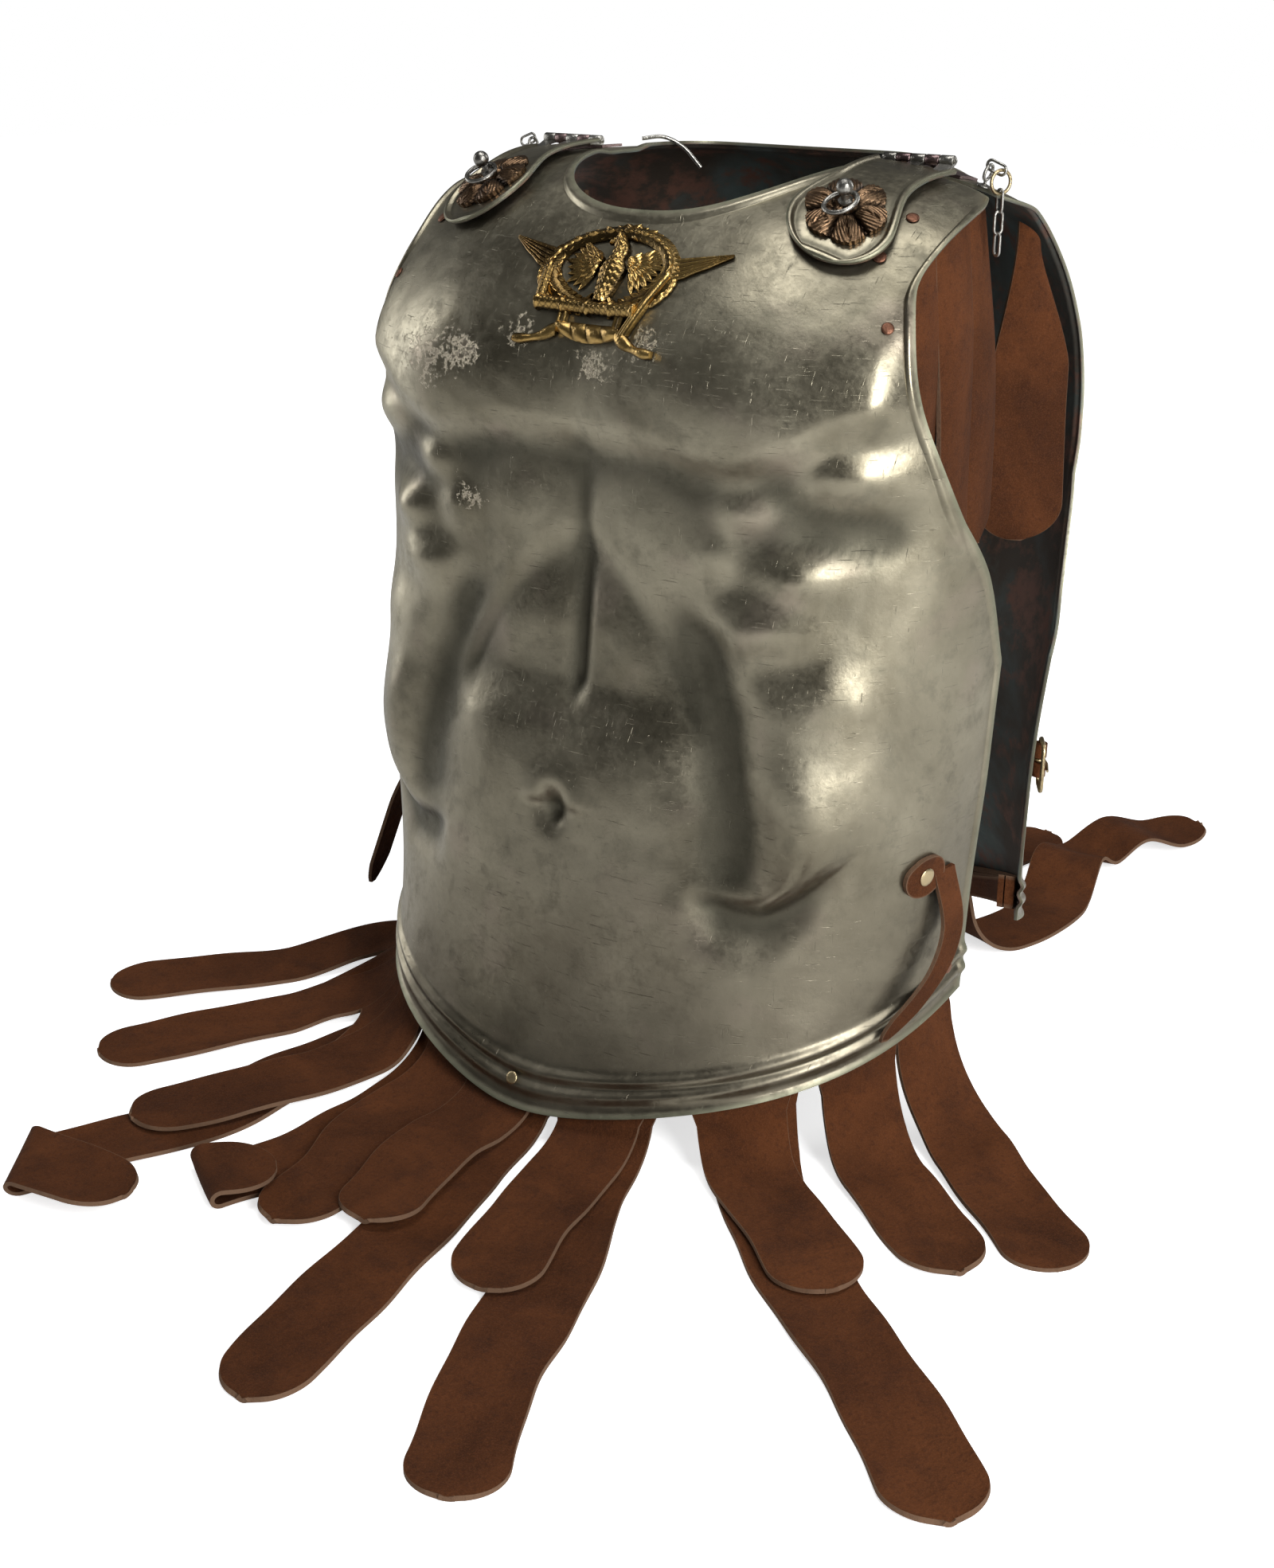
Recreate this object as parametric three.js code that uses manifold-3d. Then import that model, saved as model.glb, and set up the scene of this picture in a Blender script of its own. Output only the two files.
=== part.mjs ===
// Muscle cuirass: breastplate, backplate, hinged shoulder plates, gilt emblem, rosettes and leather strap skirts.
// Millimetres, +Z up, the chest faces -Y, the floor is z = 0.
import * as THREE from "three";
import Module from "manifold-3d";

const wasm = await Module();
wasm.setup();
const { Manifold, Mesh } = wasm;

// Body form
const chestHeight = 400;
const crestHeight = 551;
const bodyHalfWidth = 208;
const frontDepth = 134;
const backDepth = 146;
const sheet = 2;
const gap = 0.3;
const squareShares = [[0, 2.6], [0.25, 2.8], [0.6, 3], [1.45, 3]];
const frontRoundShares = [2.75, 2.45];
const backRoundShares = [4.6, 1.95];
const roundFrom = 60;
const roundTo = 150;
const crestLean = 8;
const shoulderFall = 40;
const widthShares = [[0, 0.93], [0.19, 0.935], [0.45, 0.955], [0.73, 0.995], [1, 1.03], [1.45, 1.03]];
const frontShares = [[0, 1.66], [0.05, 1.56], [0.12, 1.45], [0.28, 1.31], [0.48, 1.22], [0.75, 1.09], [1, 1.03], [1.45, 1]];
const backShares = [[0, 1.36], [0.12, 1.22], [0.3, 1.0], [0.55, 0.86], [0.8, 0.98], [1, 1.02], [1.45, 1]];

// Rolled borders and rim beads
const plateLength = 570;
const plateHalfGirth = 270;
const rollWidth = 11;
const neckRoll = 2.4;
const armRoll = 2.2;
const rimRoll = 1.4;
const lowBead = 15;
const highBead = 27;
const beadRise = 2.6;
const beadHalfWidth = 4;
const beadRows = [0, 5, 10, 15, 20, 27, 34];

// Shoulder plates: tongues hinged at the crest, lying forward over the breastplate
const tongueX = 121;
const tongueShift = 4;
const tongueLength = 114;
const tongueStart = 6;
const tongueHingeHalf = 26;
const tongueWaistHalf = 23;
const tongueEndHalf = 30;
const tongueWaistAt = 0.42;
const tongueSheet = 1.8;
const tongueLift = 2.7;
const tongueRoll = 2.2;
const tongueRollWidth = 5;

// Shoulder hinges, on one straight line along X
const hingeY = 8;
const hingeLift = 5.2;
const hingeZ = crestHeight + hingeLift;
const pinOverrun = 1;
const hingeFrom = 100;
const knuckleLength = 9;
const knuckleCount = 5;
const knuckleRadius = 3;
const hingePinRadius = 1.3;
const pinClearance = 0.35;
const knuckleGap = 0.5;
const leafSheet = 1.6;
const leafDepth = 20;
const leafTongue = 5;
const leafStart = 4.5;

// Rosette, ball stud and pull ring on each shoulder plate
const rosetteAt = 80;
const rosetteRadius = 23;
const rosetteRim = 1.6;
const rosetteRise = 3.2;
const rosetteTopShare = 1.09;
const petals = 6;
const petalCutShare = 0.13;
const studStemRadius = 2.2;
const studFootShare = 1.8;
const studFoot = 1.2;
const studNeck = 0.6;
const studStem = 9;
const studBall = 4.6;
const ringRadius = 9;
const ringWire = 1.3;
const ringLift = 7.2;

// Eyelet, ring and chain at the outer end of each shoulder hinge
const eyeletRadius = 4.2;
const eyeletWire = 0.9;
const eyeletX = 159;
const eyeletBack = 7;
const eyeletFoot = 4.5;
const eyeletStem = 3.5;
const joinLength = 12;
const joinWidth = 5.4;
const linkDroop = 0.35;
const ringTurn = [0.45, 0.89, 0];
const bigRingRadius = 6.2;
const bigRingWire = 0.95;
const chainLinks = 3;
const linkLength = 12;
const linkWidth = 5;
const linkWire = 0.8;

// Gilt emblem on the chest: wreath, bird, side wings, bar and ribbon
const emblemX = 7.5;
const emblemDrop = 54;
const emblemZ = crestHeight - emblemDrop;
const wreathHalfWidth = 41;
const wreathHalfHeight = 20;
const wreathBand = 5;
const emblemRise = 4.5;
const emblemBack = 1.6;
const wingSpan = 32;
const wingTuck = 2;
const wingRib = 0.8;
const wingTopShares = [0.4, 0.62];
const wingLowShares = [-0.3, 0.54];
const barHalf = 35;
const barDrop = 19.5;
const barRadius = 3.4;
const barBandShare = 1.25;
const ribbonHalf = 48;
const ribbonStart = 22;
const ribbonDrop = 12;
const ribbonFall = 7;
const ribbonHalfHeight = 3.4;
const ribbonRise = 2.2;
const knotHalf = 23;
const knotDrop = 12.5;
const knotHalfHeight = 4.6;
const knotRise = 3;
const strutHalf = 2.8;
const strutRise = 2.6;
const birdShares = [[0, 0.3], [0.2, 0.62], [0.5, 0.85], [0.72, 0.45], [0.88, 0.5], [1, 0.2]];
const birdHalf = 11;
const birdWingRise = 1.4;
const birdWingRib = 1.1;
const birdWingFrom = 6;
const featherDip = 1.5;

// Leather
const hide = 2.6;
const strapWidth = 52;
const skirtBandHeight = 22;
const skirtInset = 3.6;
const skirtLayerGap = 2;

const bandSteps = 16;
const bandTop = 34;
const bandLow = 8;
const tipHalf = 4;
const bandShare = 0.98;
const strapReach = 16;
const strapReachShare = 0.5;
const strapHang = 30;
const bendMarks = [0, 4, 9, 16, 25, 38];
const flatShares = [0.35, 0.75, 0.92, 0.985, 1];
const foldedShares = [0.15, 0.3, 0.42, 0.52, 0.58, 0.64, 0.7, 0.78, 0.86, 0.93, 0.98, 1];

// Straps of the skirt: rim share, strap rest height, then floor points [x, y] or [x, y, z] to the tip
const frontShortStraps = [
  [-0.93, 0, [-236, -84], [-262, -142], [-299, -194], [-343, -240]],
  [-0.66, 0, [-205, -182], [-234, -244], [-272, -308]],
  [-0.44, 1, [-134, -246], [-160, -303], [-186, -352]],
  [-0.22, 1, [-60, -262], [-42, -320], [-36, -376]],
  [-0.06, 1, [-14, -270], [-4, -310], [8, -348]],
  [0.2, 1, [68, -250], [78, -290], [98, -352]],
  [0.48, 1, [150, -176], [188, -200], [246, -240]],
  [0.72, 0, [204, -124], [236, -144], [290, -180]],
  [0.91, 0, [222, -62], [266, -96], [332, -142]],
];
const frontLongStraps = [
  [-0.5, 0, [-150, -246], [-152, -322], [-172, -390, 1], [-187, -416, 10], [-176, -417, 19], [-148, -405, 13], [-111, -390, 8]],
  [-0.28, 0, [-72, -258], [-66, -308], [-78, -346, 1], [-98, -368, 10], [-104, -360, 19], [-102, -343, 14], [-98, -322, 9]],
  [-0.02, 0, [6, -262], [24, -322], [42, -420], [60, -486]],
  [0.22, 0, [80, -248], [104, -290], [146, -400], [186, -476]],
  [0.5, 0, [170, -190], [232, -240], [320, -300], [378, -350]],
];
const backShortStraps = [
  [-0.86, 0, [-222, 120], [-280, 160], [-330, 200]],
  [-0.55, 0, [-180, 226], [-220, 276], [-256, 330]],
  [-0.2, 1, [-70, 262], [-86, 320], [-96, 380]],
  [0.1, 0, [34, 262], [44, 330], [54, 396]],
];
const backLongStraps = [
  [-0.22, 0, [-76, 262], [-100, 340], [-116, 430], [-130, 486]],
  [0.4, 0, [120, 240], [112, 292], [104, 330, 16], [104, 368, 3], [116, 404, 16], [134, 440, 3], [152, 470, 8]],
];

// Straps hanging in the armholes: [y at the shoulder, lowest z, width, y drift]
const armStraps = [[-38, 342, 38, -20], [-13, 330, 38, -5], [11, 344, 36, 8]];
const wideArmStrap = [70, 334, 56, 3];
const wideArmStrapX = 164;
const wideArmStrapTurn = 0.74;
const wideArmStrapBow = 3;
const wideStrapClearance = { right: 2.25, left: 1.15 };
const armStrapX = 153;
const armStrapBow = 14;
const armStrapHollow = 3;
const armStrapTop = 2;
const armStrapSteps = 7;

// Side straps riveted to the breastplate, and the buckles on the backplate
const sideStrapY = -72;
const sideStrapZ = 172;
const sideTabRadius = 15;
const sideStrapWidth = 18;
const sideStrapDrop = 97;
const sideStrapHead = 16;
const sideStrapForward = [[0, 0], [0.35, 7], [0.6, -3], [1, -42]];
const sideStrapStandOff = [[0, 0], [0.35, 6], [0.6, 9], [1, 7]];
const sideStrapTipShare = 0.14;
const buckleY = 74;
const buckleZ = 196;
const buckleHalfWidth = 12;
const buckleHalfHeight = 15;
const buckleReach = 19;
const buckleWire = 1.4;
const buckleBarrel = 9;
const prongRadius = 1.3;
const buckleTabLength = 38;
const buckleTabShares = [[0, 0.9], [0.35, 0.8], [0.7, 1], [1, 0.35]];
const buckleRivetShare = 0.68;
const buckleRivet = 4.6;
const rivetRadius = 5.5;
const rivetRise = 1.8;
const rivetFlat = 0.8;

// Copper rivets at the armholes and low on the sides: [name, x, drop from the crest, radius, lift]; one brass
// rivet low in front: [x, z, radius, lift]
const plateRivets = [
  ["arm_rivet_upper", 155, 20, 3.6, 0.1],
  ["arm_rivet_middle", 152, 38, 3.6, 0.5],
  ["arm_rivet_lower", 167, 72, 3.4, 0],
  ["low_rivet", 194, 450, 3.6, 2.6],
];
const rimRivet = [-4, 29, 4, 2.4];

// Bent wire pin at the back of the neck: [x, y, height over the crest]
const neckPin = [[-92, 38, 5], [-82, 46, 6], [-73, 54, 0.6], [-64, 62, -12.4]];
const neckPinWire = 1.2;

// Muscles of the chest: [x, z, half width, half height, rise], mirrored across x = 0
const chestMuscles = [
  [70, 458, 62, 50, 8], [118, 434, 42, 34, 6], [168, 448, 26, 34, 4],
  [48, 368, 30, 24, 4], [42, 302, 32, 28, 4], [36, 222, 34, 30, 3.5], [0, 140, 95, 66, 6],
  [110, 384, 20, 13, 8], [137, 351, 21, 14, 11], [94, 358, 15, 14, 6], [160, 405, 26, 15, 9],
  [124, 322, 28, 15, 10], [156, 222, 34, 50, 11], [154, 286, 26, 24, 6],
  [146, 373, 16, 10, -3], [174, 374, 15, 13, -4], [94, 312, 14, 18, -3],
];
const pecCurve = [[0, 409], [45, 411], [100, 402], [130, 413], [155, 427], [190, 436]];
const pecShelf = 10;
const pecFade = 520;
const pecFadeTo = 440;
const pecEdge = 178;
const pecSoft = 13;
const medianGroove = 6;
const medianWidth = 8;
const sternumDip = 3;
const sternumWidth = 26;
const medianFrom = 262;
const medianTo = 408;
const medianFadeShare = 0.75;
const bellyStep = 254;
const bellySoft = 18;
const bellyRise = 2.5;
const bellyHalf = 86;
const sideHollow = [[150, 106], [180, 115], [205, 115], [240, 105], [265, 99], [290, 87], [330, 66]];
const sideHollowDepth = 9.5;
const sideHollowInner = 24;
const sideHollowOuter = 20;
const rightHollowShare = 0.6;
const sideHollowFrom = 150;
const sideHollowFull = 190;
const sideHollowFade = 300;
const sideHollowTo = 346;
const ridgeOut = 34;
const ridgeRise = 4;
const ridgeWidth = 16;
const archCurve = [[0, 356], [30, 342], [60, 308], [92, 256]];
const archDepth = 4.5;
const archSoft = 12;
const navelZ = 194;
const navelDepth = 7;
const navelRadius = 8;
const navelLip = 2.5;
const navelLipAt = 15;
const navelShare = 0.8;
const groinCurve = [[90, 158], [108, 155], [132, 153], [149, 163], [163, 180], [176, 200]];
const groinDepth = 8;
const groinBelow = 20;
const groinAbove = 9;
const groinFrom = 85;
const groinFull = 112;
const groinFade = 152;
const groinTo = 178;

// Muscles of the back
const backMuscles = [
  [88, 410, 58, 62, 8], [120, 330, 46, 46, 4], [38, 250, 20, 90, 4], [60, 130, 60, 40, 3], [60, 500, 60, 26, 3],
];
const spineDepth = 6;
const spineWidth = 10;
const spineFrom = 120;
const spineFull = 190;
const spineFade = 430;
const spineTo = 500;

// Edges of the plates
const frontSideY = -22;
const backSideY = 58;
const sideBaseZ = 80;
const backBaseZ = 92;
const frontArmZ = 291;
const backArmZ = 272;
const frontLowZ = 15;
const backLowZ = 24;
const neckHalfWidth = 87;
const neckCentre = 6;
const neckFrontY = -90;
const neckBackY = 88;
const neckSquareShare = 2.6;
const dipShare = 0.14;
const frontArmCurve = [[-22, 291], [-46, 345], [-80, 400], [-92, 450], [-81, 494], [-55, 519], [-25, 532], [0, 538]];
const backArmCurve = [[60, 272], [88, 300], [102, 345], [108, 388], [108, 425], [102, 462], [84, 500], [56, 524], [16, 538]];

const clamp = (x, a, b) => Math.min(b, Math.max(a, x));
const mix = (a, b, t) => a + (b - a) * t;
const smooth = (x, a, b) => {
  const t = clamp((x - a) / (b - a), 0, 1);
  return t * t * (3 - 2 * t);
};
const bump = (x, r) => Math.exp(-(x / r) * (x / r));

// Smooth curve through [t, value] pairs, with no overshoot.
function along(pairs, t) {
  const n = pairs.length;
  if (t <= pairs[0][0]) return pairs[0][1];
  if (t >= pairs[n - 1][0]) return pairs[n - 1][1];
  const slope = (i) => (pairs[i + 1][1] - pairs[i][1]) / (pairs[i + 1][0] - pairs[i][0]);
  const tangent = (i) => {
    if (i === 0) return slope(0);
    if (i === n - 1) return slope(n - 2);
    const a = slope(i - 1);
    const b = slope(i);
    return a * b <= 0 ? 0 : (2 * a * b) / (a + b);
  };
  let i = 0;
  while (t > pairs[i + 1][0]) i += 1;
  const h = pairs[i + 1][0] - pairs[i][0];
  const s = (t - pairs[i][0]) / h;
  const s2 = s * s;
  const s3 = s2 * s;
  return (
    (2 * s3 - 3 * s2 + 1) * pairs[i][1] +
    (s3 - 2 * s2 + s) * h * tangent(i) +
    (3 * s2 - 2 * s3) * pairs[i + 1][1] +
    (s3 - s2) * h * tangent(i + 1)
  );
}

// A polyline resampled at a share s of its length.
function pointAt(line, s) {
  const sum = [0];
  for (let i = 1; i < line.length; i += 1) {
    sum.push(sum[i - 1] + Math.hypot(...line[i].map((v, k) => v - line[i - 1][k])));
  }
  const want = clamp(s, 0, 1) * sum[sum.length - 1];
  let i = 1;
  while (i < line.length - 1 && sum[i] < want) i += 1;
  const t = (want - sum[i - 1]) / Math.max(sum[i] - sum[i - 1], Number.EPSILON);
  return line[i].map((v, k) => mix(line[i - 1][k], v, t));
}

// Rounded square: the point at angle a, as shares of the half width and the half depth.
function rounded(a, share) {
  const s = Math.sin(a);
  const c = Math.cos(a);
  const r = Math.pow(Math.pow(Math.abs(s), share) + Math.pow(Math.abs(c), share), -1 / share);
  return [s * r, c * r];
}
const otherShare = (v, share) => Math.pow(Math.max(0, 1 - Math.pow(Math.abs(v), share)), 1 / share);

// One half of the trunk. sign is -1 for the chest and 1 for the back.
const front = {
  sign: -1,
  depth: frontDepth,
  depthShares: frontShares,
  roundShares: frontRoundShares,
};
const back = {
  sign: 1,
  depth: backDepth,
  depthShares: backShares,
  roundShares: backRoundShares,
};
const fullTurn = 2 * Math.PI;
const quarterTurn = fullTurn / 4;
const fallPowerShare = 5;
const squareAt = (z) => along(squareShares, z / chestHeight);
const widthAt = (z) => bodyHalfWidth * along(widthShares, z / chestHeight);
const depthAt = (half, z) => half.depth * along(half.depthShares, z / chestHeight);
const roundAt = (half, x) => mix(half.roundShares[0], half.roundShares[1], smooth(Math.abs(x), roundFrom, roundTo));
const riseAt = (x) =>
  crestHeight - chestHeight - shoulderFall * Math.pow(Math.abs(x) / widthAt(chestHeight), fallPowerShare);

// Point of the trunk for an angle round the body and a level: 0 floor, 1 chest height, 2 crest.
function trunk(half, turn, level) {
  if (level <= 1) {
    const z = chestHeight * level;
    const [sx, sy] = rounded(turn, squareAt(z));
    return [widthAt(z) * sx, half.sign * depthAt(half, z) * sy, z];
  }
  const [sx, sy] = rounded(turn, squareAt(chestHeight));
  const x = widthAt(chestHeight) * sx;
  const [up, out] = rounded((level - 1) * quarterTurn, roundAt(half, x));
  const y = crestLean * up + half.sign * depthAt(half, chestHeight) * sy * out;
  return [x, y, chestHeight + riseAt(x) * up];
}

// Angle and level of the trunk point at depth y and height z on the +X side.
function placeAt(half, y, z) {
  if (z <= chestHeight) {
    const sy = clamp(Math.abs(y) / depthAt(half, z), 0, 1);
    return [Math.atan2(otherShare(sy, squareAt(z)), sy), z / chestHeight];
  }
  let low = 0;
  let high = 1;
  let place = [0, 1];
  for (let k = 0; k < 40; k += 1) {
    const sx = (low + high) / 2;
    const sy = otherShare(sx, squareAt(chestHeight));
    const up = (z - chestHeight) / riseAt(sx * widthAt(chestHeight));
    const out = Math.abs(y - crestLean * up) / Math.max(sy * depthAt(half, chestHeight), Number.EPSILON);
    const share = roundAt(half, sx * widthAt(chestHeight));
    const full = Math.pow(Math.min(up, 2), share) + Math.pow(Math.min(out, 9), share);
    place = [Math.atan2(sx, sy), 1 + Math.atan2(up, out) / quarterTurn];
    if (full > 1) high = sx;
    else low = sx;
  }
  return place;
}

// Angle and level of the trunk point above (x, y) near the crest.
function placeAbove(half, x, y) {
  const sx = Math.abs(x) / widthAt(chestHeight);
  const sy = otherShare(sx, squareAt(chestHeight));
  let up = 1;
  let out = 0;
  for (let k = 0; k < 8; k += 1) {
    out = clamp(Math.abs(y - crestLean * up) / (sy * depthAt(half, chestHeight)), 0, 1);
    up = otherShare(out, roundAt(half, x));
  }
  return [Math.sign(x) * Math.atan2(sx, sy), 1 + Math.atan2(up, out) / quarterTurn];
}

// Map of one plate: u runs from -1 to 1 across it and v from 0 at the rim to 1 at the neck and shoulders.
function plateMap(half, edge) {
  const turnAtSide = (z) => placeAt(half, edge.sideY, z)[0];
  const armLine = [];
  const armSteps = 60;
  for (let k = 0; k <= armSteps; k += 1) {
    const t = (k / armSteps) * (edge.arm.length - 1);
    const pick = (c) => along(edge.arm.map((p, i) => [i, p[c]]), t);
    armLine.push([pick(0), pick(1)]);
  }
  const inner = [-1, 1].map((sign) => placeAbove(half, neckCentre + sign * neckHalfWidth, crestLean));
  const armEnd = armLine[armLine.length - 1];
  const outer = placeAt(half, armEnd[0], armEnd[1]);
  const side = (v, sign) => {
    if (v <= edge.cornerShare) {
      const z = mix(edge.baseZ, edge.armZ, v / edge.cornerShare);
      return [sign * turnAtSide(z), z / chestHeight];
    }
    if (v <= edge.endShare) {
      const p = pointAt(armLine, (v - edge.cornerShare) / (edge.endShare - edge.cornerShare));
      const [turn, level] = placeAt(half, p[0], p[1]);
      return [sign * turn, level];
    }
    const t = (v - edge.endShare) / (1 - edge.endShare);
    return [mix(sign * outer[0], inner[sign < 0 ? 0 : 1][0], t), mix(outer[1], 2, Math.sqrt(t))];
  };
  const top = (u) => {
    const [sx, sy] = rounded(u * quarterTurn, edge.neckSquare);
    return placeAbove(half, neckCentre + neckHalfWidth * sx, mix(crestLean, edge.neckY, sy));
  };
  const bottom = (u) => {
    const dip = (Math.hypot(u, dipShare) - dipShare) / (Math.hypot(1, dipShare) - dipShare);
    const z = mix(edge.lowZ, edge.baseZ, dip);
    return [u * turnAtSide(edge.baseZ), z / chestHeight];
  };
  const corners = [side(0, -1), side(0, 1), side(1, -1), side(1, 1)];
  return (u, v) => {
    const w = (u + 1) / 2;
    const l = side(v, -1);
    const r = side(v, 1);
    const t = top(u);
    const b = bottom(u);
    return [0, 1].map((k) => {
      const bent = (1 - v) * b[k] + v * t[k] + (1 - w) * l[k] + w * r[k];
      const low = mix(corners[0][k], corners[1][k], w);
      const high = mix(corners[2][k], corners[3][k], w);
      return bent - mix(low, high, v);
    });
  };
}
const frontEdge = {
  sideY: frontSideY, baseZ: sideBaseZ, lowZ: frontLowZ, arm: frontArmCurve, armZ: frontArmZ,
  cornerShare: 0.38, endShare: 0.84, neckY: neckFrontY, neckSquare: neckSquareShare,
};
const backEdge = {
  sideY: backSideY, baseZ: backBaseZ, lowZ: backLowZ, arm: backArmCurve, armZ: backArmZ,
  cornerShare: 0.36, endShare: 0.84, neckY: neckBackY, neckSquare: 4,
};

// Spacing across a plate: close at both edges for the rolled bands.
function spacing(count, bands) {
  const list = [];
  for (let i = 0; i <= count; i += 1) list.push(mix(bands[bands.length - 1], 1 - bands[bands.length - 1], i / count));
  return [...bands.slice(0, -1), ...list, ...bands.slice(0, -1).map((b) => 1 - b).reverse()];
}

// Closed sheet between two grids of points with the same rows and columns.
function shell(outer, inner) {
  const rows = outer.length;
  const cols = outer[0].length;
  const pos = [...outer.flat(), ...inner.flat()].flat();
  const at = (i, j, k) => k * rows * cols + i * cols + j;
  const tri = [];
  const quad = (a, b, c, d) => tri.push(a, b, c, a, c, d);
  for (let i = 0; i < rows - 1; i += 1) {
    for (let j = 0; j < cols - 1; j += 1) {
      quad(at(i, j, 0), at(i, j + 1, 0), at(i + 1, j + 1, 0), at(i + 1, j, 0));
      quad(at(i, j, 1), at(i + 1, j, 1), at(i + 1, j + 1, 1), at(i, j + 1, 1));
    }
  }
  for (let j = 0; j < cols - 1; j += 1) {
    quad(at(0, j, 0), at(0, j, 1), at(0, j + 1, 1), at(0, j + 1, 0));
    quad(at(rows - 1, j, 0), at(rows - 1, j + 1, 0), at(rows - 1, j + 1, 1), at(rows - 1, j, 1));
  }
  for (let i = 0; i < rows - 1; i += 1) {
    quad(at(i, 0, 0), at(i + 1, 0, 0), at(i + 1, 0, 1), at(i, 0, 1));
    quad(at(i, cols - 1, 0), at(i, cols - 1, 1), at(i + 1, cols - 1, 1), at(i + 1, cols - 1, 0));
  }
  return { pos, tri };
}

function geometryOf(data) {
  const g = new THREE.BufferGeometry();
  g.setAttribute("position", new THREE.BufferAttribute(new Float32Array(data.pos), 3));
  g.setIndex(data.tri);
  return g;
}
const minus = (a, b) => a.map((v, k) => v - b[k]);
const plus = (a, b, t) => a.map((v, k) => v + b[k] * t);
const cross = (a, b) => [a[1] * b[2] - a[2] * b[1], a[2] * b[0] - a[0] * b[2], a[0] * b[1] - a[1] * b[0]];
const unit = (a) => {
  const l = Math.hypot(...a);
  return a.map((v) => v / l);
};

// Rolled borders and rim beads, raised outwards along the edges of a plate.
function bands(half, u, v) {
  const fromTop = (1 - v) * plateLength;
  const fromSide = (1 - Math.abs(u)) * plateHalfGirth;
  const fromRim = v * plateLength;
  const neck = neckRoll * (1 - smooth(fromTop, rollWidth * 0.55, rollWidth)) * (1 - smooth(Math.abs(u), 0.8, 0.92));
  const arm = armRoll * (1 - smooth(fromSide, rollWidth * 0.6, rollWidth)) * smooth(v, 0.5, 0.56) *
    (1 - smooth(v, 0.78, 0.83));
  const edge = rimRoll * (1 - smooth(fromSide, rollWidth * 0.2, rollWidth * 0.6)) * (1 - smooth(v, 0.5, 0.56));
  const beads = beadRise * (bump(fromRim - lowBead, beadHalfWidth) + bump(fromRim - highBead, beadHalfWidth));
  const rim = rimRoll * (1 - smooth(fromRim, 0, rollWidth * 0.5));
  return Math.max(neck, arm, edge, rim) + beads;
}

// Grid of a plate's middle surface with the muscle relief, and the outward direction at each point.
function plateGrid(half, map, relief, us, vs) {
  const eps = 1e-3;
  const base = (u, v) => {
    const [turn, level] = map(clamp(u, -1, 1), clamp(v, 0, 1));
    return trunk(half, turn, level);
  };
  const normal = (f, u, v) => {
    const a = minus(f(Math.min(u + eps, 1), v), f(Math.max(u - eps, -1), v));
    const b = minus(f(u, Math.min(v + eps, 1)), f(u, Math.max(v - eps, 0)));
    return unit(cross(a, b).map((c) => c * -half.sign));
  };
  const raised = (u, v) => {
    const p = base(u, v);
    return plus(p, normal(base, u, v), relief(p[0], p[2]) + bands(half, u, v));
  };
  return vs.map((v) => us.map((u) => ({ p: raised(u, v), n: normal(raised, u, v) })));
}

// Height of the chest relief above the plain trunk.
const sumOf = (muscles, ax, z) => muscles.reduce((sum, m) => sum + m[4] * bump(ax - m[0], m[2]) * bump(z - m[1], m[3]), 0);
function frontRelief(x, z) {
  const ax = Math.abs(x);
  const line = along(pecCurve, ax);
  const shelf = pecShelf * smooth(z, line - pecSoft, line + pecSoft) * (1 - smooth(z, pecFadeTo, pecFade)) *
    (1 - smooth(ax, pecEdge - pecSoft, pecEdge + pecSoft));
  const median = medianGroove * bump(x, medianWidth) * smooth(z, medianFrom - pecSoft, medianFrom + pecSoft) *
    (1 - smooth(z, medianFrom + pecSoft, medianTo + pecSoft) * medianFadeShare) *
    (1 - smooth(z, medianTo, medianTo + 3 * pecSoft));
  const belly = bellyRise * (1 - smooth(z, bellyStep - bellySoft, bellyStep + bellySoft)) *
    (1 - smooth(ax, bellyHalf - 2 * bellySoft, bellyHalf + bellySoft)) * smooth(z, sideBaseZ, bellyStep - bellySoft);
  const out = ax - along(sideHollow, z);
  const span = smooth(z, sideHollowFrom, sideHollowFull) * (1 - smooth(z, sideHollowFade, sideHollowTo)) *
    (x < 0 ? rightHollowShare : 1);
  const hollow = span * (sideHollowDepth * bump(out, out < 0 ? sideHollowInner : sideHollowOuter) -
    ridgeRise * bump(out - ridgeOut, ridgeWidth));
  const arch = archDepth * (1 - smooth(z, along(archCurve, ax) - archSoft, along(archCurve, ax) + archSoft)) *
    (1 - smooth(ax, bellyHalf - archSoft, bellyHalf + archSoft)) * smooth(z, bellyStep - bellySoft, bellyStep + bellySoft);
  const sternum = sternumDip * bump(x, sternumWidth) * smooth(z, medianFrom, medianTo - archSoft) *
    (1 - smooth(z, medianTo, pecFade));
  const r = Math.hypot(x, (z - navelZ) * navelShare);
  const navel = navelDepth * bump(r, navelRadius) -
    navelLip * bump(r - navelLipAt, navelRadius) * smooth(z, navelZ, navelZ + navelRadius);
  const fold = z - along(groinCurve, ax);
  const groin = groinDepth * bump(fold, fold < 0 ? groinBelow : groinAbove) * smooth(ax, groinFrom, groinFull) *
    (1 - smooth(ax, groinFade, groinTo));
  return sumOf(chestMuscles, ax, z) + shelf + belly - median - sternum - arch - hollow - navel - groin;
}
function backRelief(x, z) {
  const spine = spineDepth * bump(x, spineWidth) * smooth(z, spineFrom, spineFull) *
    (1 - smooth(z, spineFade, spineTo));
  return sumOf(backMuscles, Math.abs(x), z) - spine;
}
const sideBands = [0, 0.012, 0.024];
const topBands = [0, 0.011, 0.022];

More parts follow.
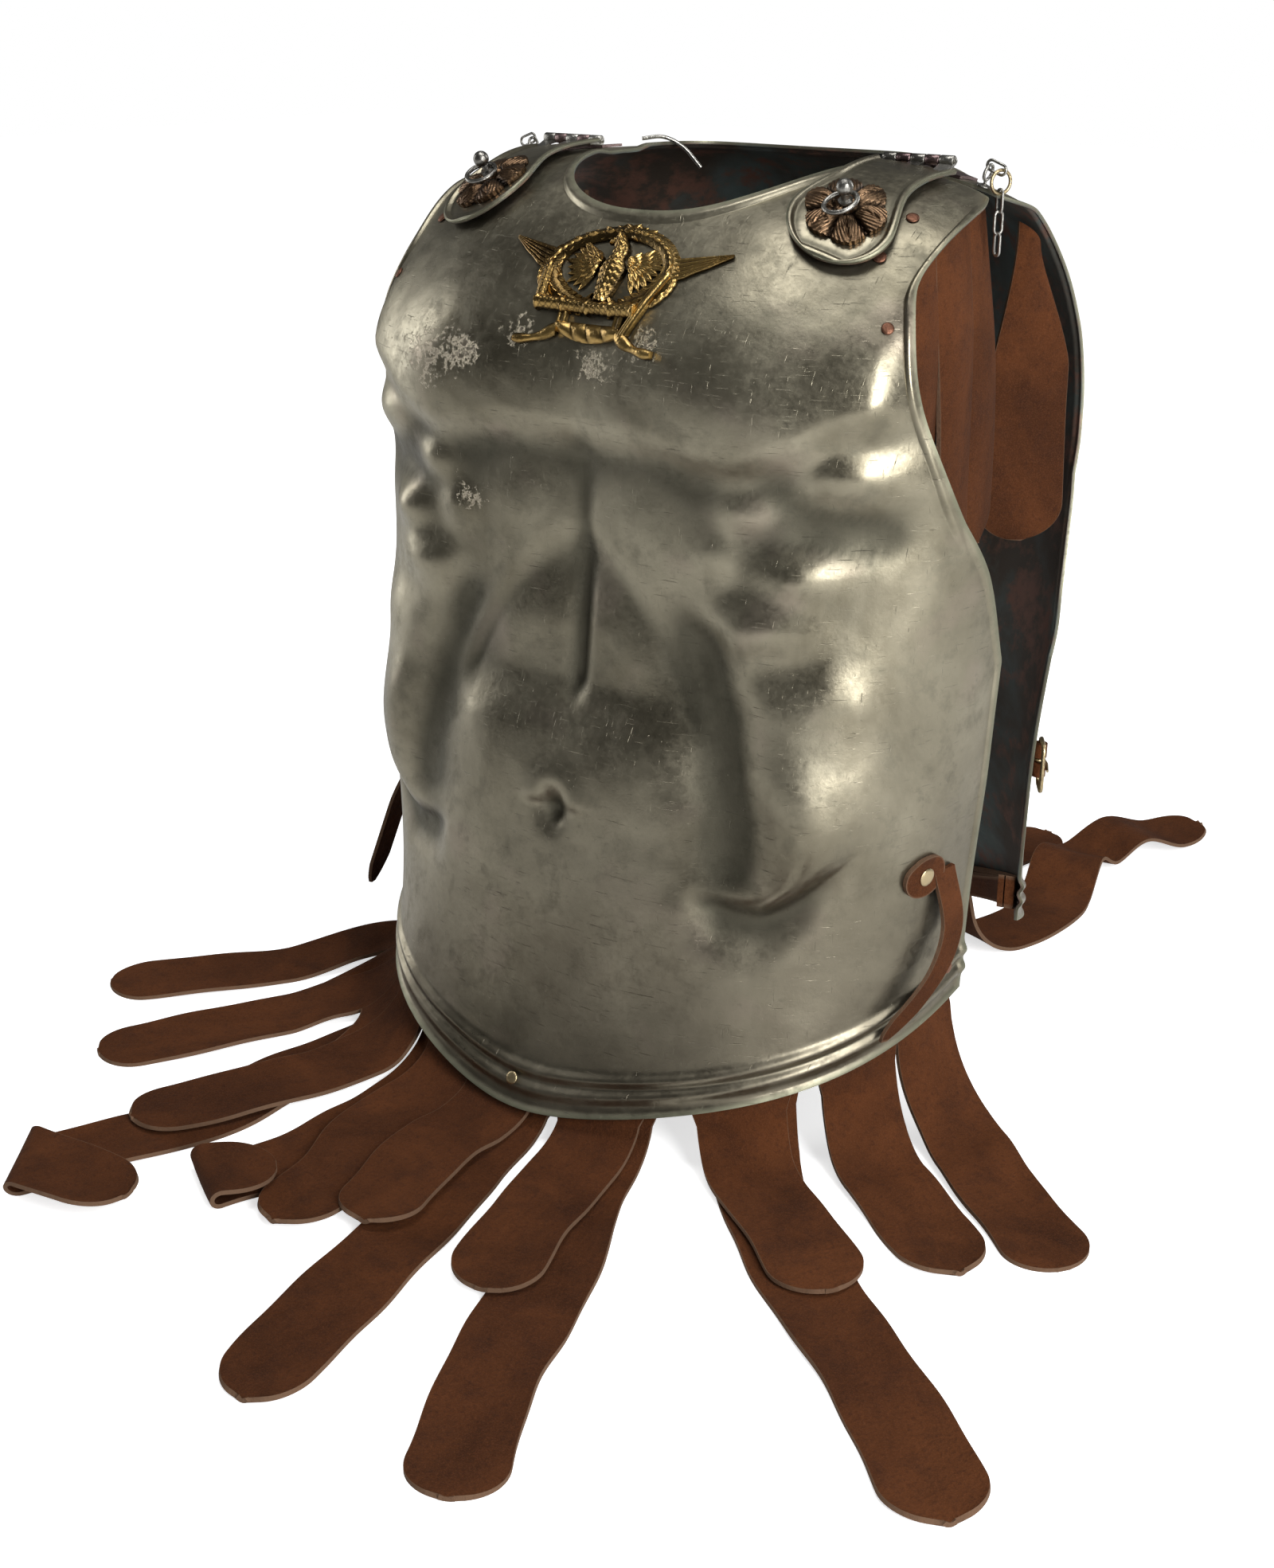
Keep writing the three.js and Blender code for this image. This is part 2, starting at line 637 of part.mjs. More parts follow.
function plateSolid(half, edge, relief, cols, rows) {
  const map = plateMap(half, edge);
  const us = spacing(cols, sideBands).map((t) => 2 * t - 1);
  const low = beadRows.map((d) => d / plateLength);
  const start = low[low.length - 1];
  const stop = 1 - topBands[topBands.length - 1];
  const middle = [];
  for (let i = 1; i <= rows; i += 1) middle.push(mix(start, stop, i / rows));
  const vs = [...low, ...middle, ...topBands.slice(0, -1).reverse().map((b) => 1 - b)];
  const grid = plateGrid(half, map, relief, us, vs);
  const outer = grid.map((row) => row.map((c) => plus(c.p, c.n, sheet / 2)));
  const inner = grid.map((row) => row.map((c) => plus(c.p, c.n, -sheet / 2)));
  return half.sign < 0 ? shell(outer, inner) : shell(outer.map((r) => [...r].reverse()), inner.map((r) => [...r].reverse()));
}

const root = new THREE.Group();
const paints = {
  silver: { color: 0x8f9088, roughness: 0.35, metalness: 1 },
  gilt: { color: 0x8a6a2c, roughness: 0.4, metalness: 1 },
  copper: { color: 0x9a6550, roughness: 0.5, metalness: 1 },
  brass: { color: 0x8c7a4c, roughness: 0.4, metalness: 1 },
  steel: { color: 0x77756c, roughness: 0.4, metalness: 1 },
  leather: { color: 0x6b3a2a, roughness: 0.9, metalness: 0 },
};
function add(name, data, paint) {
  const mesh = new THREE.Mesh(
    data.isBufferGeometry ? data : geometryOf(data),
    new THREE.MeshStandardMaterial({ ...paints[paint], name: paint }),
  );
  mesh.name = name;
  root.add(mesh);
}

// Outer face of one plate as a place for other pieces: a turn, a level and a height above the middle surface.
function skin(half, relief) {
  const raised = (turn, level) => {
    const e = 1e-4;
    const p = trunk(half, turn, level);
    const a = minus(trunk(half, turn + e, level), trunk(half, turn - e, level));
    const b = minus(trunk(half, turn, Math.min(level + e, 2)), trunk(half, turn, level - e));
    return plus(p, unit(cross(a, b).map((c) => c * -half.sign)), relief(p[0], p[2]));
  };
  return (place, h) => {
    const e = 2e-3;
    const [turn, level] = place;
    const a = minus(raised(turn + e, level), raised(turn - e, level));
    const b = minus(raised(turn, Math.min(level + e, 2)), raised(turn, level - e));
    return plus(raised(turn, level), unit(cross(a, b).map((c) => c * -half.sign)), h);
  };
}
const chestSkin = skin(front, frontRelief);
const backSkin = skin(back, backRelief);

// Place on the chest for a front view position.
function chestPlace(x, z) {
  const sx = x / widthAt(Math.min(z, chestHeight));
  if (z <= chestHeight) return [Math.atan2(sx, otherShare(sx, squareAt(z))), z / chestHeight];
  const up = (z - chestHeight) / riseAt(x);
  const sy = otherShare(sx, squareAt(chestHeight));
  return [Math.atan2(sx, sy), 1 + Math.atan2(up, otherShare(up, roundAt(front, x))) / quarterTurn];
}
const sidePlace = (half, sign) => (y, z) => {
  const [turn, level] = placeAt(half, y, z);
  return [sign * turn, level];
};

// Place at a distance forward (or back) from the crest, measured over the surface.
function shoulderPlace(half) {
  const cache = new Map();
  return (x, d) => {
    const key = x.toFixed(3);
    if (!cache.has(key)) {
      const sx = x / widthAt(chestHeight);
      const turn = Math.atan2(sx, otherShare(sx, squareAt(chestHeight)));
      const rows = [];
      let sum = 0;
      let last = trunk(half, turn, 2);
      const steps = 90;
      for (let k = 0; k <= steps; k += 1) {
        const level = 2 - k / steps;
        const p = trunk(half, turn, level);
        sum += Math.hypot(...minus(p, last));
        last = p;
        rows.push([sum, level]);
      }
      cache.set(key, [turn, rows]);
    }
    const [turn, rows] = cache.get(key);
    return [turn, along(rows, d)];
  };
}
const frontShoulder = shoulderPlace(front);
const backShoulder = shoulderPlace(back);

// Closed solid over a grid of shares s, t from -1 to 1. at(s, t, top) gives the point of the upper or lower face.
function blanket(cols, rows, at, flip) {
  const face = (top) => {
    const g = [];
    for (let i = 0; i <= rows; i += 1) {
      const row = [];
      for (let j = 0; j <= cols; j += 1) row.push(at((2 * j) / cols - 1, (2 * i) / rows - 1, top));
      g.push(flip ? row.reverse() : row);
    }
    return g;
  };
  return shell(face(true), face(false));
}

// Square shares to a round outline.
const discOf = (s, t) => [s * Math.sqrt(1 - (t * t) / 2), t * Math.sqrt(1 - (s * s) / 2)];

const toManifold = (data) => {
  const made = new Manifold(new Mesh({
    numProp: 3,
    vertProperties: new Float32Array(data.pos),
    triVerts: new Uint32Array(data.tri),
  }));
  return made.volume() < 0 ? flipped(data) : made;
};
function flipped(data) {
  const tri = [];
  for (let i = 0; i < data.tri.length; i += 3) tri.push(data.tri[i], data.tri[i + 2], data.tri[i + 1]);
  return new Manifold(new Mesh({
    numProp: 3,
    vertProperties: new Float32Array(data.pos),
    triVerts: new Uint32Array(tri),
  }));
}
function fromManifold(solid) {
  const m = solid.getMesh();
  const pos = [];
  for (let i = 0; i < m.numVert; i += 1) {
    for (let k = 0; k < 3; k += 1) pos.push(m.vertProperties[i * m.numProp + k]);
  }
  return { pos, tri: [...m.triVerts] };
}
const joined = (solids) => fromManifold(solids.slice(1).reduce((a, b) => a.add(b), solids[0]));

// Round bar or tube bent along a closed or open line.
function tube(line, radius, sides, closed) {
  const n = line.length;
  const pos = [];
  const tri = [];
  const tangent = (i) => {
    const a = line[closed ? (i + n - 1) % n : Math.max(i - 1, 0)];
    const b = line[closed ? (i + 1) % n : Math.min(i + 1, n - 1)];
    return unit(minus(b, a));
  };
  let side = unit(cross(tangent(0), Math.abs(tangent(0)[2]) > 0.9 ? [1, 0, 0] : [0, 0, 1]));
  for (let i = 0; i < n; i += 1) {
    const t = tangent(i);
    const dot = side[0] * t[0] + side[1] * t[1] + side[2] * t[2];
    side = unit(plus(side, t, -dot));
    const up = cross(t, side);
    for (let j = 0; j < sides; j += 1) {
      const a = (j / sides) * fullTurn;
      pos.push(...plus(plus(line[i], side, radius * Math.cos(a)), up, radius * Math.sin(a)));
    }
  }
  const at = (i, j) => ((i + n) % n) * sides + ((j + sides) % sides);
  const last = closed ? n : n - 1;
  for (let i = 0; i < last; i += 1) {
    for (let j = 0; j < sides; j += 1) {
      tri.push(at(i, j), at(i + 1, j + 1), at(i + 1, j), at(i, j), at(i, j + 1), at(i + 1, j + 1));
    }
  }
  if (!closed) {
    for (let j = 1; j < sides - 1; j += 1) {
      tri.push(at(0, 0), at(0, j + 1), at(0, j));
      tri.push(at(n - 1, 0), at(n - 1, j), at(n - 1, j + 1));
    }
  }
  return { pos, tri };
}
const ringLine = (centre, a, b, radius, count) => {
  const line = [];
  for (let i = 0; i < count; i += 1) {
    const t = (i / count) * fullTurn;
    line.push(plus(plus(centre, a, radius * Math.cos(t)), b, radius * Math.sin(t)));
  }
  return line;
};

// Straight rod with a wider or narrower radius at each named distance.
function turned(base, axis, profile, sides) {
  const side = unit(cross(axis, Math.abs(axis[2]) > 0.9 ? [1, 0, 0] : [0, 0, 1]));
  const up = cross(axis, side);
  const pos = [];
  const tri = [];
  profile.forEach(([d, r]) => {
    for (let j = 0; j < sides; j += 1) {
      const a = (j / sides) * fullTurn;
      pos.push(...plus(plus(plus(base, axis, d), side, r * Math.cos(a)), up, r * Math.sin(a)));
    }
  });
  const n = profile.length;
  const at = (i, j) => i * sides + ((j + sides) % sides);
  for (let i = 0; i < n - 1; i += 1) {
    for (let j = 0; j < sides; j += 1) {
      tri.push(at(i, j), at(i, j + 1), at(i + 1, j + 1), at(i, j), at(i + 1, j + 1), at(i + 1, j));
    }
  }
  for (let j = 1; j < sides - 1; j += 1) {
    tri.push(at(0, 0), at(0, j + 1), at(0, j));
    tri.push(at(n - 1, 0), at(n - 1, j), at(n - 1, j + 1));
  }
  return { pos, tri };
}

add("breastplate", plateSolid(front, frontEdge, frontRelief, 28, 22), "silver");
add("backplate", plateSolid(back, backEdge, backRelief, 20, 15), "silver");

// Shoulder plates with their knuckles
const hingeLength = knuckleCount * knuckleLength;
const hingeMid = hingeFrom + hingeLength / 2;
function tongueHalf(d) {
  const waist = along([[0, tongueHingeHalf], [tongueWaistAt, tongueWaistHalf], [0.76, tongueEndHalf], [1, tongueEndHalf]], d / tongueLength);
  const left = tongueLength - d;
  const r = tongueEndHalf;
  return left >= r ? waist : Math.min(waist, Math.sqrt(Math.max(r * r - (r - left) * (r - left), 9)));
}
const tongueRowShares = [0, 0.12, 0.26, 0.4, 0.54, 0.68, 0.79, 0.87, 0.93, 0.965, 0.99, 1];
const tongueColShares = [-1, -0.9, -0.78, -0.4, 0, 0.4, 0.78, 0.9, 1];
const tongueCentre = (sign, d) => mix(sign * hingeMid, sign * tongueX + tongueShift, smooth(d, 0, tongueLength));
function tonguePoint(sign, d, s, h) {
  return chestSkin(frontShoulder(tongueCentre(sign, d) + sign * s * tongueHalf(d), d), h);
}
function tongue(sign) {
  const base = sheet / 2 + tongueLift;
  const face = (thick) => tongueRowShares.map((t) => tongueColShares.map((s) => {
    const d = mix(tongueStart, tongueLength, t);
    const inset = Math.min((1 - Math.abs(s)) * tongueHalf(d), (tongueLength - d) * 0.9);
    const roll = tongueRoll * (1 - smooth(inset, tongueRollWidth * 0.5, tongueRollWidth));
    return tonguePoint(sign, d, s, base + roll + thick);
  }));
  const outer = face(tongueSheet);
  const inner = face(0);
  return sign > 0 ? shell(outer.map((r) => r.reverse()), inner.map((r) => r.reverse())) : shell(outer, inner);
}
function knuckle(sign, index) {
  const x0 = hingeFrom + index * knuckleLength + knuckleGap / 2;
  const axis = [sign, 0, 0];
  const length = knuckleLength - knuckleGap;
  const rod = toManifold(turned([sign * x0, hingeY, hingeZ], axis, [[0, knuckleRadius], [length, knuckleRadius]], 12));
  const hole = toManifold(turned([sign * (x0 - length), hingeY, hingeZ], axis,
    [[0, hingePinRadius + pinClearance], [3 * length, hingePinRadius + pinClearance]], 12));
  return [rod, hole];
}
// Tab from a knuckle to its leaf: a strip of the leaf's own sheet, following the surface up to the barrel.
function tab(sign, index, pointAtDistance) {
  const x0 = hingeFrom + index * knuckleLength + knuckleGap / 2;
  const x1 = x0 + knuckleLength - knuckleGap;
  const pos = [];
  [x0, x1].forEach((x) => {
    const [a, b] = pointAtDistance(sign * x);
    pos.push(a, b);
    pos.push([sign * x, hingeY, hingeZ - knuckleRadius + leafSheet / 2], [sign * x, hingeY, hingeZ - knuckleRadius * 0.2]);
  });
  return Manifold.hull(pos);
}
const evenKnuckles = [0, 2, 4];
const oddKnuckles = [1, 3];
function shoulderPlate(sign) {
  let solid = toManifold(tongue(sign));
  evenKnuckles.forEach((k) => {
    const [rod, hole] = knuckle(sign, k);
    const reach = (x) => {
      const base = sheet / 2 + tongueLift;
      const d = tongueStart + leafTongue;
      return [chestSkin(frontShoulder(x, d), base + 0.2 * tongueSheet), chestSkin(frontShoulder(x, d), base + 0.8 * tongueSheet)];
    };
    solid = solid.add(tab(sign, k, reach)).add(rod).subtract(hole);
  });
  return fromManifold(solid);
}
function backLeaf(sign) {
  const base = sheet / 2 + gap;
  const from = hingeFrom + leafStart;
  const to = hingeFrom + hingeLength - knuckleGap / 2;
  const place = (x, d, h) => backSkin(backShoulder(sign * x, d), h);
  let solid = toManifold(blanket(3, 3, (s, t, top) =>
    place(mix(from, to, (s + 1) / 2), mix(tongueStart, tongueStart + leafDepth, (t + 1) / 2), base + (top ? leafSheet : 0)), sign > 0));
  oddKnuckles.forEach((k) => {
    const [rod, hole] = knuckle(sign, k);
    const reach = (x) => {
      const d = tongueStart + leafTongue;
      return [backSkin(backShoulder(x, d), base + 0.2 * leafSheet), backSkin(backShoulder(x, d), base + 0.8 * leafSheet)];
    };
    solid = solid.add(tab(sign, k, reach)).add(rod).subtract(hole);
  });
  return fromManifold(solid);
}
[["right", -1], ["left", 1]].forEach(([side, sign]) => {
  add("shoulder_plate_" + side, shoulderPlate(sign), "silver");
  add("hinge_leaf_" + side, backLeaf(sign), "steel");
  add("hinge_pin_" + side, turned([sign * (hingeFrom - pinOverrun), hingeY, hingeZ], [sign, 0, 0],
    [[0, hingePinRadius], [hingeLength + 2 * pinOverrun, hingePinRadius]], 12), "steel");
});

// Leafy rosettes, ball studs and pull rings
function rosette(sign) {
  const base = sheet / 2 + tongueLift + tongueSheet + gap;
  const cells = 8;
  return blanket(cells, cells, (s, t, top) => {
    const [x, y] = discOf(s, t);
    const r = Math.hypot(x, y);
    const a = Math.atan2(y, x);
    const leaf = Math.abs(Math.cos((a * petals) / 2));
    const out = rosetteRadius * (1 - petalCutShare * (1 - leaf)) ;
    const rise = rosetteRim + rosetteRise * (0.35 + 0.65 * leaf) * Math.sin(Math.min(1, 1.15 - r) * Math.PI * 0.8) +
      0.5 * rosetteRise * bump(r, 0.22);
    const place = frontShoulder(tongueCentre(sign, rosetteAt) + out * x, rosetteAt + out * y);
    return chestSkin(place, base + (top ? Math.max(rise, rosetteRim) : 0));
  }, true);
}
const rosettePlace = (sign) => frontShoulder(tongueCentre(sign, rosetteAt), rosetteAt);
function outwardAt(place) {
  return unit(minus(chestSkin(place, 1), chestSkin(place, 0)));
}
[["right", -1], ["left", 1]].forEach(([side, sign]) => {
  const out = outwardAt(rosettePlace(sign));
  const top = sheet / 2 + tongueLift + tongueSheet + gap + rosetteRim + rosetteRise * rosetteTopShare + gap;
  const foot = chestSkin(rosettePlace(sign), top);
  add("rosette_" + side, rosette(sign), "gilt");
  const ball = [];
  const ballSteps = 5;
  for (let k = 0; k <= ballSteps; k += 1) {
    const a = mix(-1.05, 1.5, k / ballSteps);
    ball.push([studStem + studBall * Math.sin(a), studBall * Math.cos(a)]);
  }
  add("rosette_stud_" + side, turned(foot, out, [[0, studStemRadius * studFootShare], [studFoot, studStemRadius * studFootShare],
    [studFoot + studNeck, studStemRadius], ...ball], 10), "steel");
  const down = unit(cross([1, 0, 0], out));
  const centre = plus(plus(foot, out, studStem * 0.35), down, ringRadius - studStemRadius - ringWire - gap);
  add("rosette_ring_" + side, tube(ringLine(centre, [1, 0, 0], down, ringRadius, 16), ringWire, 6, true), "steel");
});

// Gilt emblem: every part of it shares one back face just over the chest
const emblemBase = sheet / 2 + gap;
const onEmblem = (x, z, h) => chestSkin(chestPlace(emblemX + x, emblemZ + z), emblemBase + h);
function emblemPatch(cols, rows, at, rise) {
  return toManifold(blanket(cols, rows, (s, t, top) => {
    const [x, z] = at(s, t);
    return onEmblem(x, z, top ? rise(s, t) : 0);
  }, true));
}
function emblem() {
  const wreath = [-1, 1].map((side) => emblemPatch(2, 13, (s, t) => {
    const a = mix(-0.47, 0.52, (t + 1) / 2) * Math.PI;
    const leaf = 1 + 0.12 * Math.cos(((t + 1) / 2) * 9 * fullTurn);
    const r = 1 + (s * wreathBand * leaf) / wreathHalfHeight;
    return [side * Math.cos(a) * wreathHalfWidth * r, Math.sin(a) * wreathHalfHeight * r];
  }, (s, t) => emblemRise * (1 - 0.55 * s * s) * (1 + 0.12 * Math.cos(((t + 1) / 2) * 18 * fullTurn / 2))));
  const wings = [-1, 1].map((side) => emblemPatch(5, 4, (s, t) => {
    const w = (s + 1) / 2;
    const high = wreathHalfHeight * mix(wingTopShares[0], wingTopShares[1], w);
    const low = wreathHalfHeight * mix(wingLowShares[0], wingLowShares[1], Math.pow(w, 1.2));
    return [side * mix(wreathHalfWidth - wingTuck, wreathHalfWidth + wingSpan, w), mix(low, high, (t + 1) / 2)];
  }, (s, t) => emblemBack + wingRib * Math.abs(t) * (1 - (s + 1) * 0.3)));
  const body = emblemPatch(4, 7, (s, t) => {
    const w = (t + 1) / 2;
    const turn = featherDip * bump(w - 0.95, 0.1);
    return [s * birdHalf * along(birdShares, w) + turn, mix(-wreathHalfHeight * 0.8, wreathHalfHeight * 0.8, w)];
  }, (s, t) => emblemBack + emblemRise * (1 - s * s * 0.9) * (0.85 + 0.25 * Math.cos(t * 9)));
  const spread = [-1, 1].map((side) => emblemPatch(5, 4, (s, t) => {
    const w = (s + 1) / 2;
    const high = mix(wreathHalfHeight * 0.2, wreathHalfHeight * 0.6, Math.sin(w * Math.PI * 0.6));
    const low = mix(-wreathHalfHeight * 0.3, -wreathHalfHeight * 0.36, w) + featherDip * Math.cos(w * 12);
    return [side * mix(birdWingFrom, wreathHalfWidth * 0.84, w), mix(low, high, (t + 1) / 2)];
  }, (s, t) => emblemBack + birdWingRise + birdWingRib * Math.cos(s * 6 + t * 3)));
  const bar = emblemPatch(12, 3, (s, t) => {
    const end = Math.abs(s) > 0.9 || Math.abs(Math.abs(s) - 0.5) < 0.1 ? barBandShare : 1;
    return [s * barHalf - knotDrop / 3, -barDrop + t * barRadius * end];
  }, (s, t) => emblemBack + barRadius * (1.5 - 0.9 * t * t));
  const knot = emblemPatch(8, 2, (s, t) => {
    const half = knotHalfHeight * (1 - 0.45 * s * s);
    return [s * knotHalf, -barDrop - knotDrop + knotHalfHeight * 0.5 * s * s + t * half];
  }, (s, t) => emblemBack + knotRise * (1 - 0.7 * t * t) * (0.8 + 0.2 * Math.cos(s * 14)));
  const feet = [-1, 1].map((side) => emblemPatch(6, 2, (s, t) => {
    const w = (s + 1) / 2;
    const drop = barDrop + ribbonDrop + ribbonFall * Math.sin(w * Math.PI * 0.55);
    return [side * mix(ribbonStart, ribbonHalf, w), -drop + t * ribbonHalfHeight * (1 - 0.4 * w)];
  }, (s, t) => emblemBack + ribbonRise * (1 - 0.6 * t * t)));
  const struts = [-1, 1].map((side) => emblemPatch(2, 4, (s, t) => {
    const w = (t + 1) / 2;
    const from = side < 0 ? wreathHalfWidth * 0.92 : ribbonStart + ribbonHalfHeight;
    const drop = side < 0 ? barDrop : barDrop + ribbonDrop;
    return [side * (mix(from, wreathHalfWidth * 0.98, w) + s * strutHalf), mix(-drop, -wreathHalfHeight * 0.1, w)];
  }, (s) => emblemBack + strutRise * (1 - 0.6 * s * s)));
  const ties = [-1, 1].map((side) => emblemPatch(1, 2, (s, t) => [
    side * (knotHalf - strutHalf) + s * strutHalf, -barDrop - knotDrop * mix(0.75, 0, (t + 1) / 2),
  ], () => emblemBack + strutRise * 0.6));
  return joined([...wreath, ...wings, body, ...spread, bar, knot, ...feet, ...struts, ...ties]);
}
add("chest_emblem", emblem(), "gilt");

// Point inside a plate near its rim
function rimFrame(half, edge, relief) {
  const map = plateMap(half, edge);
  const e = 1e-3;
  const base = (u, v) => trunk(half, ...map(clamp(u, -1, 1), clamp(v, 0, 1)));
  return (share, up, depth) => {
    const u = clamp(share, e - 1, 1 - e);
    const v = up / plateLength;
    const a = minus(base(u + e, v), base(u - e, v));
    const b = minus(base(u, v + e), base(u, Math.max(v - e, 0)));
    const n = unit(cross(a, b).map((c) => c * -half.sign));
    const p = base(u, v);
    return plus(p, n, relief(p[0], p[2]) - sheet / 2 - depth);
  };
}

// Straps of one skirt layer: they hang inside the rim, curve outwards under it and lie on the floor.
function skirt(half, edge, relief, straps, layer) {
  const frame = rimFrame(half, edge, relief);
  const depth = gap + skirtInset + hide + layer * (hide + skirtLayerGap);
  const pitch = hide + skirtLayerGap;
  const rim = [];
  const rimSteps = 90;
  for (let i = 0; i <= rimSteps; i += 1) rim.push(frame((2 * i) / rimSteps - 1, 0, 0));
  const nearest = (x, y) => {
    let best = [Infinity, 0, 0];
    for (let i = 0; i < rim.length - 1; i += 1) {
      const dx = rim[i + 1][0] - rim[i][0];
      const dy = rim[i + 1][1] - rim[i][1];
      const t = clamp(((x - rim[i][0]) * dx + (y - rim[i][1]) * dy) / (dx * dx + dy * dy), 0, 1);
      const ox = x - rim[i][0] - t * dx;
      const oy = y - rim[i][1] - t * dy;
      const d = Math.hypot(ox, oy);
      if (d < best[0]) best = [d, mix(rim[i][2], rim[i + 1][2], t), (dx * oy - dy * ox) * half.sign < 0 ? -1 : 1];
    }
    return best;
  };
  const heightAt = (x, y, over) => {
    const [d, rimZ, out] = nearest(x, y);
    const r = d * out;
    const reach = strapReach + strapReachShare * rimZ;
    const rest = layer ? 0 : mix(over ? pitch : 0, pitch, 1 - smooth(r, reach, 2 * reach));
    const low = layer ? 0 : pitch;
    const w = (r + depth) / (reach + depth);
    if (w >= 1) return rest;
    const c = 1 - Math.max(w, 0);
    return low + (rimZ - low) * (1 - Math.sqrt(Math.max(0, 1 - c * c)));
  };
  const bandFace = (d) => {
    const rows = [];
    for (let i = 0; i <= bandSteps; i += 1) {
      const u = mix(-bandShare, bandShare, i / bandSteps);
      rows.push([bandLow, bandTop].map((up) => frame(u, up, d)));
    }
    return rows;
  };
  const parts = straps.map(([u, over, ...floor]) => {
    const across = strapWidth / 2 / plateHalfGirth;
    const start = frame(u, 0, depth);
    const beside = [-1, 1].map((k) => frame(u + k * across, 0, depth));
    const rimSide = unit([beside[1][0] - beside[0][0], beside[1][1] - beside[0][1], 0]).map((c) => c * -half.sign);
    const raise = floor.map((q) => q[2] ?? 0);
    const curve = new THREE.CatmullRomCurve3(
      [[start[0], start[1], 0], ...floor.map((q) => [q[0], q[1], q[2] ?? 0])].map((q) => new THREE.Vector3(...q)),
      false, "centripetal",
    );
    const length = curve.getLength();
    const rows = [strapHang, strapHang / 2].map((up) => [-1, 0, 1].map((k) => frame(u - half.sign * k * across, up, depth)));
    const shares = raise.some((z) => z > 0) ? foldedShares : flatShares;
    const bend = bendMarks[bendMarks.length - 1];
    const marks = [...bendMarks.map((d) => d / length), ...shares.map((m) => mix(bend / length, 1, m))];
    let last = rimSide;
    marks.forEach((m) => {
      const t = curve.getUtoTmapping(m);
      const p = curve.getPoint(t).toArray();
      const d = curve.getTangent(t).toArray();
      let side = unit([-d[1], d[0], 0]);
      if (side[0] * last[0] + side[1] * last[1] < 0) side = side.map((c) => -c);
      last = side;
      const f = smooth(m * length, 0, strapWidth);
      side = unit(plus([rimSide[0] * (1 - f), rimSide[1] * (1 - f), 0], side, f));
      const left = length * (1 - m);
      const r = strapWidth / 2;
      const wide = left >= r ? r : Math.sqrt(Math.max(r * r - (r - left) * (r - left), tipHalf * tipHalf));
      rows.push([-1, 0, 1].map((k) => {
        const q = plus(p, side, k * wide);
        return [q[0], q[1], heightAt(q[0], q[1], over) + Math.max(p[2], 0)];
      }));
    });
    const normals = rows.map((row, i) => {
      const a = minus(rows[Math.min(i + 1, rows.length - 1)][1], rows[Math.max(i - 1, 0)][1]);
      return unit(cross(a, minus(row[2], row[0])));
    });
    const lift = rows.map((row, i) => row.map((q) => plus(q, normals[i], hide)));
    return toManifold(shell(lift, rows));
  });
  const seat = layer ? depth - pitch + 4 * gap : 3 * gap;
  return joined([toManifold(shell(bandFace(seat), bandFace(depth))), ...parts]);
}
add("front_skirt_short", skirt(front, frontEdge, frontRelief, frontShortStraps, 0), "leather");
add("front_skirt_long", skirt(front, frontEdge, frontRelief, frontLongStraps, 1), "leather");
add("back_skirt_short", skirt(back, backEdge, backRelief, backShortStraps, 0), "leather");
add("back_skirt_long", skirt(back, backEdge, backRelief, backLongStraps, 1), "leather");

// Straps hanging in the armholes: one leather sheet cut into narrow straps at the front, and one wide strap behind
function shoulderUnder(x, y, sign) {
  const half = y < crestLean ? front : back;
  const [turn, level] = placeAbove(half, x, y);
  return trunk(half, turn, level)[2] - sheet / 2 - armStrapTop - (y > 2 * crestLean ? wideStrapClearance[sign < 0 ? "right" : "left"] : 0);
}
function hangingStrap(sign, [y, lowest, width, drift], x, turn, bowOut) {
  const rows = [];
  const dx = Math.sin(turn);
  const dy = Math.cos(turn);
  for (let i = 0; i <= armStrapSteps; i += 1) {
    const t = (i / armStrapSteps) * (1 + 0.3 * (1 - i / armStrapSteps));
    const left = (shoulderUnder(x, y, sign) - lowest) * (1 - t);
    const r = width / 2;
    const wide = left >= r ? r : Math.sqrt(Math.max(r * r - (r - left) * (r - left), tipHalf * tipHalf));
    const bow = bowOut * Math.sin(t * Math.PI * 0.6);
    rows.push([-1, 0, 1].map((k) => {
      const top = shoulderUnder(x + k * r * dx, y + k * r * dy, sign);
      return [sign * (x + bow - armStrapHollow * k * k + k * wide * dx), y + drift * t + k * wide * dy, mix(top, lowest, t)];
    }));
  }
  const lift = rows.map((row) => row.map((q) => [q[0] + sign * hide * dy, q[1] - hide * dx, q[2]]));
  return toManifold(shell(lift, rows));
}
[["right", -1], ["left", 1]].forEach(([side, sign]) => {
  add("arm_straps_" + side, joined(armStraps.map((strap) => hangingStrap(sign, strap, armStrapX, 0, armStrapBow))),
    "leather");
  add("arm_strap_wide_" + side, fromManifold(hangingStrap(sign, wideArmStrap, wideArmStrapX, wideArmStrapTurn, wideArmStrapBow)),
    "leather");
});

